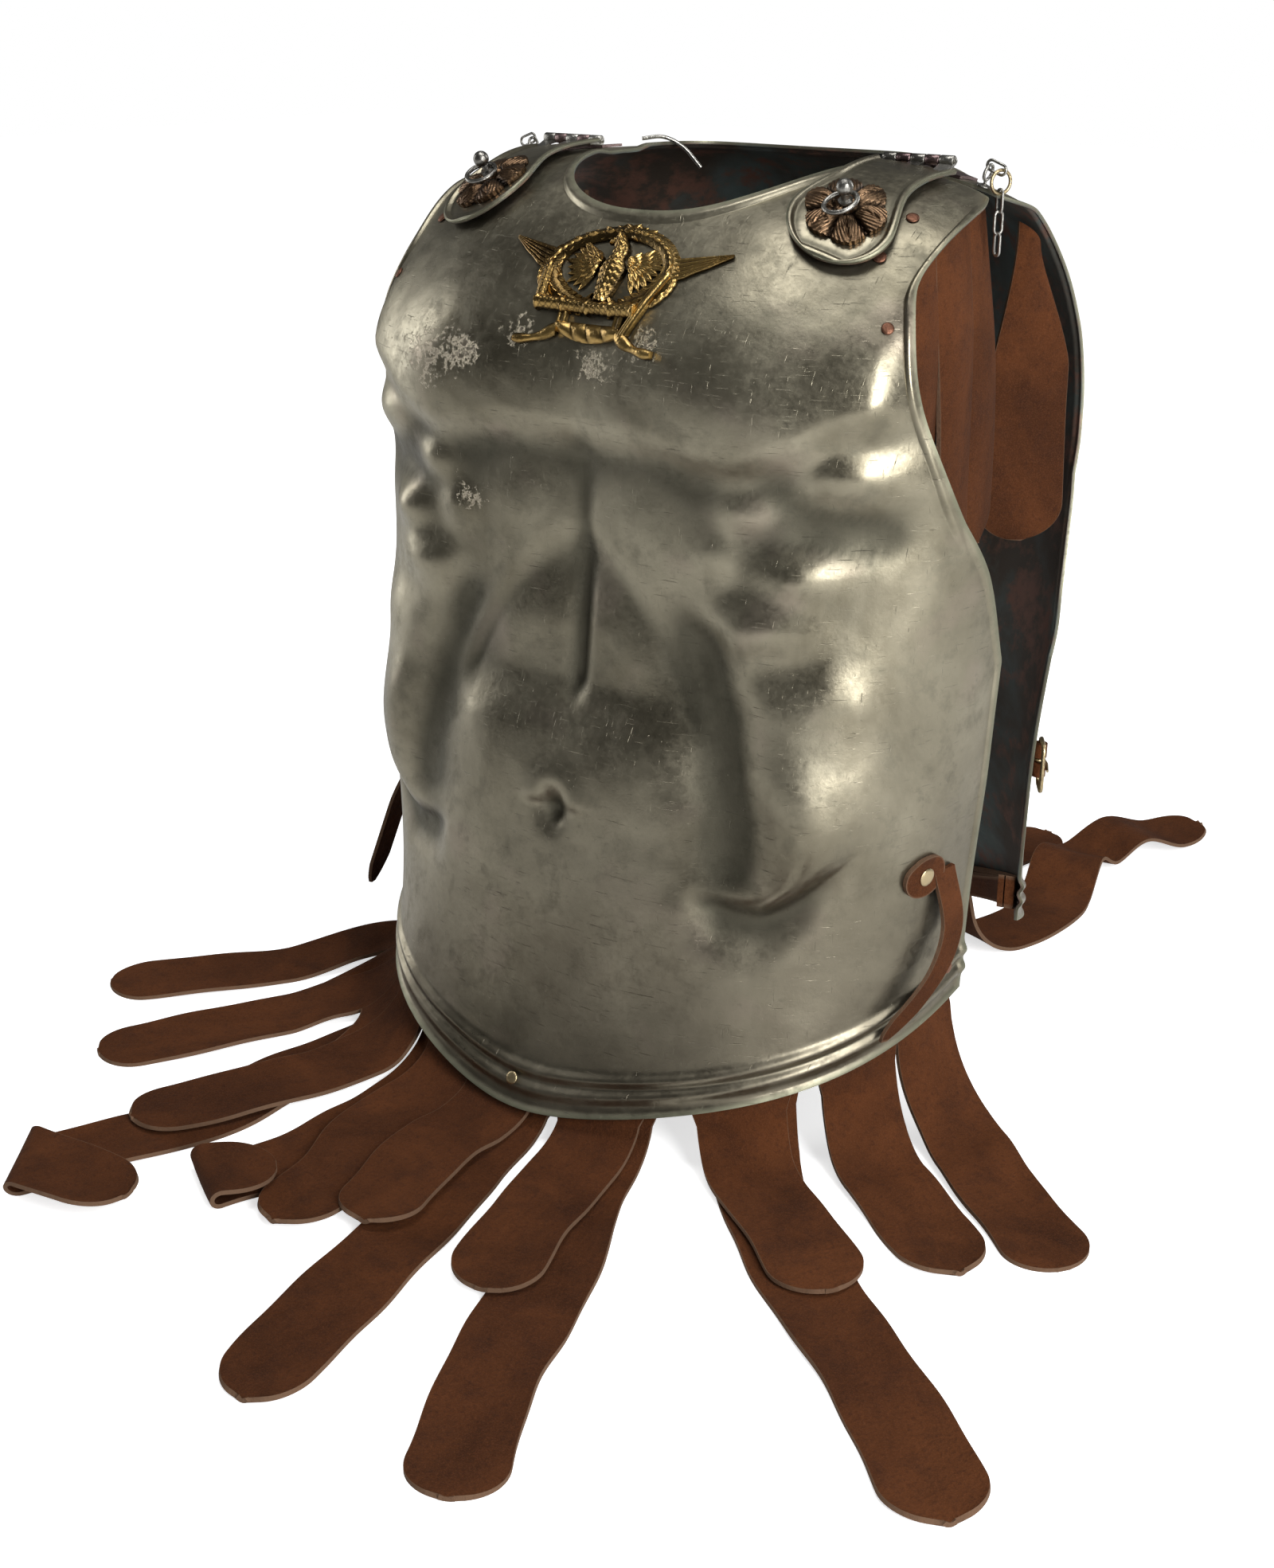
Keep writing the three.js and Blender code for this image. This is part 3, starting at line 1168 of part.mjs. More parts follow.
// Domed rivet head seated on a surface point
function rivetOn(foot, out, radius) {
  return turned(foot, out, [[0, radius], [rivetFlat, radius], [rivetRise * 0.8, radius * 0.62], [rivetRise, radius * 0.2]], 10);
}
[["right", -1], ["left", 1]].forEach(([side, sign]) => {
  const place = sidePlace(front, sign);
  const base = sheet / 2 + gap;
  const at = (y, z, h) => chestSkin(place(y, z), base + h);
  const disc = toManifold(blanket(6, 6, (s, t, top) => {
    const [x, z] = discOf(s, t);
    return at(sideStrapY + sideTabRadius * x, sideStrapZ + sideTabRadius * 0.9 * z, top ? hide : 0);
  }, true));
  const strapFace = (h) => {
    const rows = [];
    const count = 10;
    for (let i = 0; i <= count; i += 1) {
      const t = i / count;
      const half = (sideStrapWidth / 2) * Math.min(1, Math.max(0.2, (1 - t) / sideStrapTipShare));
      const y = sideStrapY + sideStrapHead + along(sideStrapForward, t);
      rows.push([-1, 1].map((k) => at(y + k * half, sideStrapZ - sideStrapDrop * t, along(sideStrapStandOff, t) + h)));
    }
    return rows;
  };
  add("side_strap_" + side, joined([disc, toManifold(shell(strapFace(hide), strapFace(0)))]), "leather");
  const foot = at(sideStrapY, sideStrapZ, hide + gap);
  add("side_strap_rivet_" + side, rivetOn(foot, unit(minus(at(sideStrapY, sideStrapZ, 1), at(sideStrapY, sideStrapZ, 0))), rivetRadius), "brass");
});

// Buckles on the backplate: a riveted leather tab folded round the buckle's bar, the wire frame and its prong
[["right", -1], ["left", 1]].forEach(([side, sign]) => {
  const place = sidePlace(back, sign);
  const base = sheet / 2 + 3 * gap;
  const at = (y, z, h) => backSkin(place(y, z), base + h);
  const low = at(buckleY, buckleZ, 0);
  const out = unit(minus(at(buckleY, buckleZ, 1), low));
  const ahead = unit(cross([0, 0, 1], out).map((c) => -c * sign));
  const hole = buckleWire + pinClearance;
  const bar = plus(low, out, hole + hide);
  const sheetPart = toManifold(blanket(4, 4, (s, t, top) => {
    const w = (s + 1) / 2;
    const half = buckleHalfWidth * along(buckleTabShares, w);
    return at(buckleY + buckleTabLength * w, buckleZ + t * half, top ? hide : 0);
  }, sign > 0));
  const barrels = [-1, 1].map((k) => turned(plus(bar, [0, 0, k], prongRadius + 2 * gap), [0, 0, k],
    [[0, hole + hide], [buckleBarrel, hole + hide]], 10));
  const bore = turned(plus(bar, [0, 0, -1], buckleHalfHeight), [0, 0, 1], [[0, hole], [2 * buckleHalfHeight, hole]], 10);
  const slotHalf = prongRadius + 2 * gap;
  const slot = turned(plus(bar, [0, 0, -1], slotHalf), [0, 0, 1],
    [[0, hole + prongRadius + 2 * gap], [2 * slotHalf, hole + prongRadius + 2 * gap]], 10);
  const tabSolid = barrels.reduce((all, barrel) => all.add(toManifold(barrel)), sheetPart)
    .subtract(toManifold(bore)).subtract(toManifold(slot));
  add("buckle_tab_" + side, fromManifold(tabSolid), "leather");
  const corner = (x, z) => plus(plus(bar, ahead, x), [0, 0, 1], z);
  const w = buckleReach;
  const h = buckleHalfHeight;
  const r = 2 * buckleWire;
  add("buckle_frame_" + side, tube([corner(0, h - r), corner(r / 2, h), corner(w - r, h), corner(w, h - r), corner(w, r - h),
    corner(w - r, -h), corner(r / 2, -h), corner(0, r - h)], buckleWire, 6, true), "brass");
  const eye = turned(plus(bar, [0, 0, -1], prongRadius), [0, 0, 1],
    [[0, hole + prongRadius], [2 * prongRadius, hole + prongRadius]], 10);
  const from = plus(bar, out, hole + prongRadius / 2);
  const to = plus(plus(bar, ahead, w + buckleWire), out, buckleWire + prongRadius + gap);
  const rod = tube([from, to], prongRadius, 8, false);
  add("buckle_prong_" + side, fromManifold(toManifold(eye).add(toManifold(rod)).subtract(toManifold(bore))), "brass");
  const rivetAt = buckleY + buckleTabLength * buckleRivetShare;
  const foot = at(rivetAt, buckleZ, hide + gap);
  add("buckle_rivet_" + side, rivetOn(foot, unit(minus(at(rivetAt, buckleZ, 1), at(rivetAt, buckleZ, 0))), buckleRivet), "brass");
});
add("neck_pin", tube(new THREE.CatmullRomCurve3(neckPin.map(([x, y, up]) => new THREE.Vector3(x, y, crestHeight + up))).getPoints(8).map((q) => q.toArray()),
  neckPinWire, 8, false), "steel");

// Eyelets at the outer ends of the hinges, each with a link; the left one carries a ring and a short chain
const sloped = (sign) => unit([sign * Math.cos(linkDroop), 0, -Math.sin(linkDroop)]);
function oval(centre, along1, across, length, width, wire, count, sides) {
  const line = [];
  for (let i = 0; i < count; i += 1) {
    const t = ((i + 0.5) / count) * fullTurn;
    const straight = (length - width) / 2;
    const c = Math.cos(t);
    const shift = Math.sign(c) * straight + (c * width) / 2;
    line.push(plus(plus(centre, along1, shift), across, (Math.sin(t) * width) / 2));
  }
  return tube(line, wire, sides, true);
}
[["right", -1], ["left", 1]].forEach(([side, sign]) => {
  const place = backShoulder(sign * eyeletX, eyeletBack);
  const foot = backSkin(place, sheet / 2 + 2 * gap);
  const up = unit(minus(backSkin(place, 1), backSkin(place, 0)));
  const eye = plus(foot, up, eyeletStem + eyeletRadius);
  const stem = toManifold(turned(foot, up,
    [[0, eyeletFoot], [eyeletWire, eyeletFoot], [1.5 * eyeletWire, eyeletWire], [eyeletStem, eyeletWire]], 10));
  const loop = toManifold(tube(ringLine(eye, [0, 1, 0], up, eyeletRadius, 12), eyeletWire, 6, true));
  add("eyelet_" + side, joined([stem, loop]), "steel");
  const out = sloped(sign);
  const upward = unit(cross(out, [0, sign, 0]));
  const start = plus(plus(eye, up, eyeletRadius), out, -(eyeletWire + linkWire + 2 * gap));
  const middle = plus(start, out, joinLength / 2);
  add("link_" + side, oval(middle, out, upward, joinLength, joinWidth, linkWire, 12, 6), "steel");
  if (sign < 0) return;
  const hook = plus(middle, out, joinLength / 2 - bigRingWire - linkWire - 3 * gap);
  const flat = unit(ringTurn);
  const centre = plus(hook, [0, 0, 1], -bigRingRadius);
  add("shoulder_ring", tube(ringLine(centre, flat, [0, 0, 1], bigRingRadius, 18), bigRingWire, 6, true), "brass");
  const low = plus(centre, [0, 0, 1], -bigRingRadius);
  const links = [];
  for (let i = 0; i < chainLinks; i += 1) {
    const at = plus(low, [0, 0, 1], linkWire + bigRingWire + 2 * gap - linkLength / 2 - i * (linkLength - linkWire / 2));
    const across = i % 2 ? flat : [flat[1], -flat[0], 0];
    links.push(toManifold(oval(at, [0, 0, 1], across, linkLength, linkWidth, linkWire, 10, 5)));
  }
  add("shoulder_chain", joined(links), "steel");
});

// Rivets of the breastplate
const onChest = (x, z, h) => chestSkin(chestPlace(x, z), sheet / 2 + gap + h);
function chestRivet(name, [x, z, radius, lift], paint) {
  const foot = onChest(x, z, lift);
  add(name, rivetOn(foot, unit(minus(onChest(x, z, lift + 1), foot)), radius), paint);
}
plateRivets.forEach(([name, x, drop, ...rest]) => [["right", -1], ["left", 1]].forEach(([side, sign]) => {
  chestRivet(name + "_" + side, [sign * x, crestHeight - drop, ...rest], "copper");
}));
chestRivet("rim_rivet", rimRivet, "brass");

// The part stands on z = 0 with the middle of its outline over the origin.
const box = new THREE.Box3().setFromObject(root);
root.position.set(-(box.min.x + box.max.x) / 2, -(box.min.y + box.max.y) / 2, -box.min.z);

export default root;
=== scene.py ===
"""Muscle cuirass on a pale floor: silvered breastplate and backplate with gilt ornament, copper rivets,
hinged shoulder plates, and red-brown suede straps that hang in the armholes and spread on the floor."""
import math

import bmesh
import bpy
import numpy as np
from mathutils import Matrix, Vector


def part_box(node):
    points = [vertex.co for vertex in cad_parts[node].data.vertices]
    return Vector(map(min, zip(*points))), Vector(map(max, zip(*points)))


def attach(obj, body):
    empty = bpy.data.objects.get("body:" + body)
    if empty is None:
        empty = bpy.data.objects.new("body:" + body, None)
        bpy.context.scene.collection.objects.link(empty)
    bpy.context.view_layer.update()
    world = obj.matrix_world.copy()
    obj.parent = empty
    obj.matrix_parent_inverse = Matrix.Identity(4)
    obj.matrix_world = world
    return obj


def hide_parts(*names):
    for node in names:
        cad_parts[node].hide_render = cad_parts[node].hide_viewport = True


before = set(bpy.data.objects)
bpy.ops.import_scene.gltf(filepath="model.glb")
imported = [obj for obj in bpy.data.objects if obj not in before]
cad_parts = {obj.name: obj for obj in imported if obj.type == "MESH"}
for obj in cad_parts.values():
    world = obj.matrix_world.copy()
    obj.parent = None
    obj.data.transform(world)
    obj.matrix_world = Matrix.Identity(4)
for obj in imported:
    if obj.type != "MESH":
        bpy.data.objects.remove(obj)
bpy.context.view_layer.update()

# Camera: a long lens at the wearer's left front, a little above the chest, looking down.
# The body forms below are in millimetres about the middle of the trunk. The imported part's frame is shifted from
# that by the spread of the straps, which the shoulder eyelets show.
eye_pair = [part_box("eyelet_left"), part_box("eyelet_right")]
SHIFT_X = sum(c[0] for b in eye_pair for c in b) / 4
PIN_Y = 0.008
SHIFT_Y = sum(c[1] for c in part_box("hinge_pin_left")) / 2 - PIN_Y
SHIFT = np.array([SHIFT_X, SHIFT_Y, 0.0])
MM = 0.001
CAMERA_AT = (0.6986, -1.005, 0.650)
CAMERA_TURN, CAMERA_TILT = math.radians(34.8 + 2.61), math.radians(21.87)
LENS, SENSOR, FAR = 46.07, 36, 30
PRINCIPAL = (5 / 1969, -3.5 / 1969)

def put(name, data):
    """A new object in the scene for the data."""
    obj = bpy.data.objects.new(name, data)
    bpy.context.scene.collection.objects.link(obj)
    return obj


cam_data = bpy.data.cameras.new("camera")
cam_data.lens, cam_data.sensor_width, cam_data.clip_end = LENS, SENSOR, FAR
cam_data.shift_x, cam_data.shift_y = PRINCIPAL
cam = put("camera", cam_data)
sa, ca, sp, cp = (f(a) for a in (CAMERA_TURN, CAMERA_TILT) for f in (math.sin, math.cos))
forward = Vector((-sa * cp, ca * cp, -sp))
right = Vector((ca, sa, 0))
place = Matrix((right, right.cross(forward), -forward)).transposed().to_4x4()
place.translation = Vector(CAMERA_AT) + Vector(SHIFT)
cam.matrix_world = place
bpy.context.scene.camera = cam
bpy.context.scene.view_settings.view_transform = "Standard"

# Floor and studio light: a plain white floor that glows towards its edges like the photo's backdrop, a tall
# soft lamp on each side, one overhead and a strip behind. A lamp is its place, aimed height, size and power.
FLOOR_SIZE = 14
LAMPS = [
    ("right", (2.1, -1.0, 1.15), 0.3, (0.9, 1.6), 74),
    ("left", (-2.2, -0.4, 0.8), 0.3, (0.6, 1.4), 12),
    ("top", (0.1, -0.2, 2.7), 0.3, (1.6, 1.0), 29),
    ("back", (1.0, 2.0, 1.2), 0.35, (0.6, 1.6), 16),
]
STUDIO_GREY, FLOOR_WHITE, WHITE = (0.08, 0.08, 0.078), (0.93, 0.93, 0.93), (1, 1, 1)
GLOW_FROM, GLOW_TO, GLOW_LOW = 0.45, 1.1, 0.66

for name, at, aim_z, size, power in LAMPS:
    data = bpy.data.lights.new(name, "AREA")
    data.shape = "RECTANGLE"
    data.size, data.size_y = size
    data.energy = power
    lamp = put(name, data)
    lamp.location = at
    lamp.rotation_euler = (Vector((0, 0, aim_z)) - Vector(at)).to_track_quat("-Z", "Y").to_euler()
floor_mesh = bpy.data.meshes.new("floor")
h = FLOOR_SIZE / 2
floor_mesh.from_pydata([(-h, -h, 0), (h, -h, 0), (h, h, 0), (-h, h, 0)], [], [(0, 1, 2, 3)])
floor = put("floor", floor_mesh)


class Tree:
    """Short writing of a node tree: each call adds a node and sets or links what is given for its inputs."""

    def __init__(self, owner):
        self.tree = owner
        if not isinstance(owner, bpy.types.NodeTree):
            owner.use_nodes = True
            self.tree = owner.node_tree
            self.tree.nodes.clear()

    def add(self, kind, inputs=None, **props):
        node = self.tree.nodes.new(kind)
        for key, value in props.items():
            setattr(node, key, value)
        for key, value in (inputs or {}).items():
            socket = node.inputs[key]
            if isinstance(value, bpy.types.NodeSocket):
                self.tree.links.new(value, socket)
            else:
                socket.default_value = (*value, 1) if socket.type == "RGBA" else value
        return node

    def mix(self, share, a, b):
        return self.add("ShaderNodeMix", {0: share, 6: a, 7: b}, data_type="RGBA").outputs[2]

    def over(self, colour, *layers):
        """The colour with each layer, a share and a colour, laid over it in turn."""
        for share, layer in layers:
            colour = self.mix(share, colour, layer)
        return colour

    def math(self, kind, *values):
        return self.add("ShaderNodeMath", dict(enumerate(values)), operation=kind).outputs[0]

    def times(self, a, b):
        return self.math("MULTIPLY", a, b)

    def plus(self, a, b):
        return self.math("ADD", a, b)

    def minus(self, a, b):
        return self.math("SUBTRACT", a, b)

    def ramp(self, value, low, high, to_low=0.0, to_high=1.0):
        return self.add("ShaderNodeMapRange", {"Value": value, "From Min": low, "From Max": high,
                                               "To Min": to_low, "To Max": to_high}).outputs[0]

    def noise(self, vector, scale, detail=4.0, roughness=0.55, distortion=0.0):
        return self.add("ShaderNodeTexNoise", {"Vector": vector, "Scale": scale, "Detail": detail,
                                               "Roughness": roughness, "Distortion": distortion}).outputs[0]

    def surface(self, colour, roughness, height, depth, **more):
        """The finished surface, with bumps of the depth in metres."""
        bumps = self.add("ShaderNodeBump", {"Height": height, "Strength": 1.0, "Distance": depth}).outputs[0]
        shader = self.add("ShaderNodeBsdfPrincipled",
                          {"Base Color": colour, "Roughness": roughness, "Normal": bumps, **more})
        self.add("ShaderNodeOutputMaterial", {"Surface": shader.outputs[0]})


world = bpy.data.worlds.new("studio")
bpy.context.scene.world = world
t = Tree(world)
shown = t.mix(t.add("ShaderNodeLightPath").outputs["Is Camera Ray"], STUDIO_GREY, WHITE)
air = t.add("ShaderNodeBackground", {"Color": shown, "Strength": 1.0})
t.add("ShaderNodeOutputWorld", {"Surface": air.outputs[0]})

floor_paint = bpy.data.materials.new("floor_white")
t = Tree(floor_paint)
seen = t.add("ShaderNodeLightPath").outputs["Is Camera Ray"]
floor_at = t.add("ShaderNodeTexCoord").outputs["Object"]
away = t.add("ShaderNodeVectorMath", {0: floor_at}, operation="LENGTH").outputs["Value"]
matt = t.add("ShaderNodeBsdfDiffuse", {"Color": FLOOR_WHITE}).outputs[0]
strength = t.ramp(away, GLOW_FROM, GLOW_TO, GLOW_LOW, 1.0)
glow = t.add("ShaderNodeEmission", {"Color": WHITE, "Strength": strength}).outputs[0]
both = t.add("ShaderNodeAddShader", {0: matt, 1: glow}).outputs[0]
plain = t.add("ShaderNodeMixShader", {0: seen, 1: matt, 2: both}).outputs[0]
t.add("ShaderNodeOutputMaterial", {"Surface": plain})
floor.data.materials.append(floor_paint)

# Trunk form: both plates are beaten over one rounded form. A point of it is a turn round it and a level, from
# 0 at the floor through 1 at chest height to 2 at the crest of the shoulders.
CHEST_HEIGHT, CREST_HEIGHT, HALF_WIDTH = 400.0, 551.0, 208.0
FRONT_DEPTH, BACK_DEPTH, SHEET, GAP = 134.0, 146.0, 2.0, 0.3
SQUARE = [(0, 2.6), (0.25, 2.8), (0.6, 3), (1.45, 3)]
WIDTHS = [(0, 0.93), (0.19, 0.935), (0.45, 0.955), (0.73, 0.995), (1, 1.03), (1.45, 1.03)]
FRONT_DEPTHS = [(0, 1.66), (0.05, 1.56), (0.12, 1.45), (0.28, 1.31), (0.48, 1.22), (0.75, 1.09), (1, 1.03),
                (1.45, 1)]
BACK_DEPTHS = [(0, 1.36), (0.12, 1.22), (0.3, 1.0), (0.55, 0.86), (0.8, 0.98), (1, 1.02), (1.45, 1)]
ROUND_FROM, ROUND_TO, CREST_LEAN, SHOULDER_FALL, FALL_POWER = 60, 150, 8, 40, 5
QUARTER = math.pi / 2
TINY, BISECTIONS, LEVEL_STEPS = 1e-9, 40, 91


def smooth(x, a, b):
    t = np.clip((x - a) / (b - a), 0, 1)
    return t * t * (3 - 2 * t)


def bump(x, r):
    return np.exp(-(x / r) ** 2)


def mix(a, b, t):
    return a + (b - a) * t
def floats(*values):
    """The values as arrays of floats of one shape."""
    return np.broadcast_arrays(*(np.asarray(v, float) for v in values))


def run_of(line):
    """Running length along a line of points."""
    steps = np.linalg.norm(np.diff(line, axis=-2), axis=-1)
    return np.concatenate([steps[..., :1] * 0, np.cumsum(steps, -1)], -1)

def along(pairs, t):
    """Smooth curve through the pairs, with no overshoot."""
    xs, ys = np.array(pairs, float).T
    t = np.clip(np.asarray(t, float), xs[0], xs[-1])
    slope = np.diff(ys) / np.diff(xs)
    inner = slope[:-1] * slope[1:]
    mid = np.where(inner > 0, 2 * inner / np.where(inner > 0, slope[:-1] + slope[1:], 1), 0)
    tangent = np.concatenate([slope[:1], mid, slope[-1:]])
    i = np.clip(np.searchsorted(xs, t, side="left") - 1, 0, len(xs) - 2)
    gap = xs[i + 1] - xs[i]
    s = (t - xs[i]) / gap
    s2, s3 = s * s, s * s * s
    return ((2 * s3 - 3 * s2 + 1) * ys[i] + (s3 - 2 * s2 + s) * gap * tangent[i]
            + (3 * s2 - 2 * s3) * ys[i + 1] + (s3 - s2) * gap * tangent[i + 1])


def rounded(angle, share):
    s, c = np.sin(angle), np.cos(angle)
    r = (np.abs(s) ** share + np.abs(c) ** share) ** (-1 / share)
    return s * r, c * r


def other(v, share):
    return np.maximum(0, 1 - np.abs(v) ** share) ** (1 / share)


class Half:
    """One half of the trunk: the chest has sign -1 and the back 1."""

    def __init__(self, sign, depth, depths, rounds, body, plate):
        self.sign, self.depth, self.depths, self.rounds = sign, depth, depths, rounds
        self.body, self.plate = body, plate

    def depth_at(self, z):
        return self.depth * along(self.depths, z / CHEST_HEIGHT)

    def round_at(self, x):
        return mix(self.rounds[0], self.rounds[1], smooth(np.abs(x), ROUND_FROM, ROUND_TO))


FRONT = Half(-1, FRONT_DEPTH, FRONT_DEPTHS, (2.75, 2.45), "breast", "breastplate")
BACK = Half(1, BACK_DEPTH, BACK_DEPTHS, (4.6, 1.95), "back", "backplate")
TOP_WIDTH = HALF_WIDTH * along(WIDTHS, 1)
TOP_SQUARE = along(SQUARE, 1)


def rise_at(x):
    return CREST_HEIGHT - CHEST_HEIGHT - SHOULDER_FALL * (np.abs(x) / TOP_WIDTH) ** FALL_POWER


def trunk(half, turn, level):
    turn, level = floats(turn, level)
    z = CHEST_HEIGHT * np.clip(level, 0, 1)
    sx, sy = rounded(turn, along(SQUARE, z / CHEST_HEIGHT))
    x = HALF_WIDTH * along(WIDTHS, z / CHEST_HEIGHT) * sx
    y = half.depth_at(z) * sy
    up, out = rounded(np.clip(level - 1, 0, 1) * QUARTER, half.round_at(x))
    high = level > 1
    y = np.where(high, CREST_LEAN * up + half.sign * y * out, half.sign * y)
    return np.stack([x, y, np.where(high, CHEST_HEIGHT + rise_at(x) * up, z)], -1)


def place_at(half, y, z):
    """Turn and level of the trunk point at depth y and height z on the +X side."""
    y, z = floats(y, z)
    zc = np.minimum(z, CHEST_HEIGHT)
    sy = np.clip(np.abs(y) / half.depth_at(zc), 0, 1)
    low_turn = np.arctan2(other(sy, along(SQUARE, zc / CHEST_HEIGHT)), sy)
    low, high = np.zeros_like(z), np.ones_like(z)
    for _ in range(BISECTIONS):
        sx = (low + high) / 2
        sy = other(sx, TOP_SQUARE)
        up = (z - CHEST_HEIGHT) / rise_at(sx * TOP_WIDTH)
        out = np.abs(y - CREST_LEAN * up) / np.maximum(sy * half.depth_at(CHEST_HEIGHT), TINY)
        share = half.round_at(sx * TOP_WIDTH)
        over = np.clip(up, 0, 2) ** share + np.minimum(out, 9) ** share > 1
        high = np.where(over, sx, high)
        low = np.where(over, low, sx)
    upper = z > CHEST_HEIGHT
    return (np.where(upper, np.arctan2(sx, sy), low_turn),
            np.where(upper, 1 + np.arctan2(np.maximum(up, 0), out) / QUARTER, zc / CHEST_HEIGHT))


def place_above(half, x, y):
    x, y = floats(x, y)
    sx = np.abs(x) / TOP_WIDTH
    sy = other(sx, TOP_SQUARE)
    up = np.ones_like(sx)
    for _ in range(8):
        out = np.clip(np.abs(y - CREST_LEAN * up) / (sy * half.depth_at(CHEST_HEIGHT)), 0, 1)
        up = other(out, half.round_at(x))
    return np.sign(x) * np.arctan2(sx, sy), 1 + np.arctan2(up, out) / QUARTER


def chest_place(x, z):
    """Place on the chest for a front view position."""
    x, z = floats(x, z)
    zc = np.minimum(z, CHEST_HEIGHT)
    sx = x / (HALF_WIDTH * along(WIDTHS, zc / CHEST_HEIGHT))
    turn = np.arctan2(sx, other(sx, along(SQUARE, zc / CHEST_HEIGHT)))
    up = np.clip((z - CHEST_HEIGHT) / rise_at(x), 0, 1)
    level = 1 + np.arctan2(up, other(up, FRONT.round_at(x))) / QUARTER
    return turn, np.where(z <= CHEST_HEIGHT, zc / CHEST_HEIGHT, level)


def shoulder_place(half, x, d):
    """Place at a distance d forward or back from the crest, measured over the surface."""
    x, d = floats(x, d)
    sx = x / TOP_WIDTH
    turn = np.arctan2(sx, other(sx, TOP_SQUARE))
    levels = np.linspace(2, 1, LEVEL_STEPS)
    run = run_of(trunk(half, turn[..., None], levels)).reshape(-1, LEVEL_STEPS)
    level = np.array([np.interp(v, r, levels) for v, r in zip(d.ravel(), run)])
    return turn, level.reshape(turn.shape)


def unit(v):
    return v / np.maximum(np.linalg.norm(v, axis=-1, keepdims=True), TINY)


# Relief of the plates: beaten chest, rib and belly muscles in front, shoulder muscles behind, two beads over
# the rim, rolled neck and arm borders. A muscle is its place across and up, its half sizes and its rise.
PLATE_LENGTH, PLATE_GIRTH, ROLL = 570.0, 270.0, 11.0
NECK_ROLL, ARM_ROLL, RIM_ROLL, NECK_BORDER = 2.4, 2.2, 1.4, 8.0
SHELF_RISE, MEDIAN_DEPTH, STERNUM_DEPTH, BELLY_RISE, ARCH_DEPTH = 10, 6, 3, 2.5, 4.5
SIDE_DEPTH, FAR_SIDE_SHARE, NAVEL_Z, NAVEL_DEPTH, GROIN_DEPTH, SPINE_DEPTH = 9.5, 0.6, 194, 7, 8, 6
LOW_BEAD, HIGH_BEAD, BEAD_RISE, BEAD_HALF = 15, 27, 2.6, 4
CHEST_MUSCLES = [
    (70, 458, 62, 50, 8), (118, 434, 42, 34, 6), (168, 448, 26, 34, 4),
    (48, 368, 30, 24, 4), (42, 302, 32, 28, 4), (36, 222, 34, 30, 3.5), (0, 140, 95, 66, 6),
    (110, 384, 20, 13, 8), (137, 351, 21, 14, 11), (94, 358, 15, 14, 6), (160, 405, 26, 15, 9),
    (124, 322, 28, 15, 10), (156, 222, 34, 50, 11), (154, 286, 26, 24, 6),
    (146, 373, 16, 10, -3), (174, 374, 15, 13, -4), (94, 312, 14, 18, -3),
]
BACK_MUSCLES = [(88, 410, 58, 62, 8), (120, 330, 46, 46, 4), (38, 250, 20, 90, 4), (60, 130, 60, 40, 3),
                (60, 500, 60, 26, 3)]
PEC_CURVE = [(0, 409), (45, 411), (100, 402), (130, 413), (155, 427), (190, 436)]
ARCH_CURVE = [(0, 356), (30, 342), (60, 308), (92, 256)]
SIDE_HOLLOW = [(150, 106), (180, 115), (205, 115), (240, 105), (265, 99), (290, 87), (330, 66)]
GROIN_CURVE = [(90, 158), (108, 155), (132, 153), (149, 163), (163, 180), (176, 200)]


def blobs(muscles, ax, z):
    return sum(rise * bump(ax - x0, w) * bump(z - z0, h) for x0, z0, w, h, rise in muscles)


def within(x, a, b, c, d):
    """1 from b to c, falling to 0 at a and at d."""
    return smooth(x, a, b) * (1 - smooth(x, c, d))


def front_relief(x, z):
    ax = np.hypot(x, 10)
    line = along(PEC_CURVE, ax)
    shelf = SHELF_RISE * smooth(z, line - 13, line + 13)
    shelf = shelf * (1 - smooth(z, 440, 520)) * (1 - smooth(ax, 165, 191))
    median = MEDIAN_DEPTH * bump(x, 8) * within(z, 249, 275, 408, 447) * (1 - smooth(z, 275, 421) * 0.75)
    sternum = STERNUM_DEPTH * bump(x, 26) * within(z, 262, 396, 408, 520)
    belly = BELLY_RISE * within(z, 80, 236, 236, 272) * (1 - smooth(ax, 50, 104))
    line = along(ARCH_CURVE, ax)
    arch = ARCH_DEPTH * (1 - smooth(z, line - 12, line + 12)) * (1 - smooth(ax, 74, 98)) * smooth(z, 236, 272)
    out = ax - along(SIDE_HOLLOW, z)
    side = SIDE_DEPTH * bump(out, np.where(out < 0, 24, 20)) - 4 * bump(out - 34, 16)
    hollow = within(z, 150, 190, 300, 346) * side * np.where(x < 0, FAR_SIDE_SHARE, 1)
    r = np.hypot(x, (z - NAVEL_Z) * 0.8)
    navel = NAVEL_DEPTH * bump(r, 8) - 2.5 * bump(r - 15, 8) * smooth(z, NAVEL_Z, NAVEL_Z + 8)
    fold = z - along(GROIN_CURVE, ax)
    groin = GROIN_DEPTH * bump(fold, np.where(fold < 0, 20, 9)) * within(ax, 85, 112, 152, 178)
    return blobs(CHEST_MUSCLES, ax, z) + shelf + belly - median - sternum - arch - hollow - navel - groin


def back_relief(x, z):
    return blobs(BACK_MUSCLES, np.abs(x), z) - SPINE_DEPTH * bump(x, 10) * within(z, 120, 190, 430, 500)


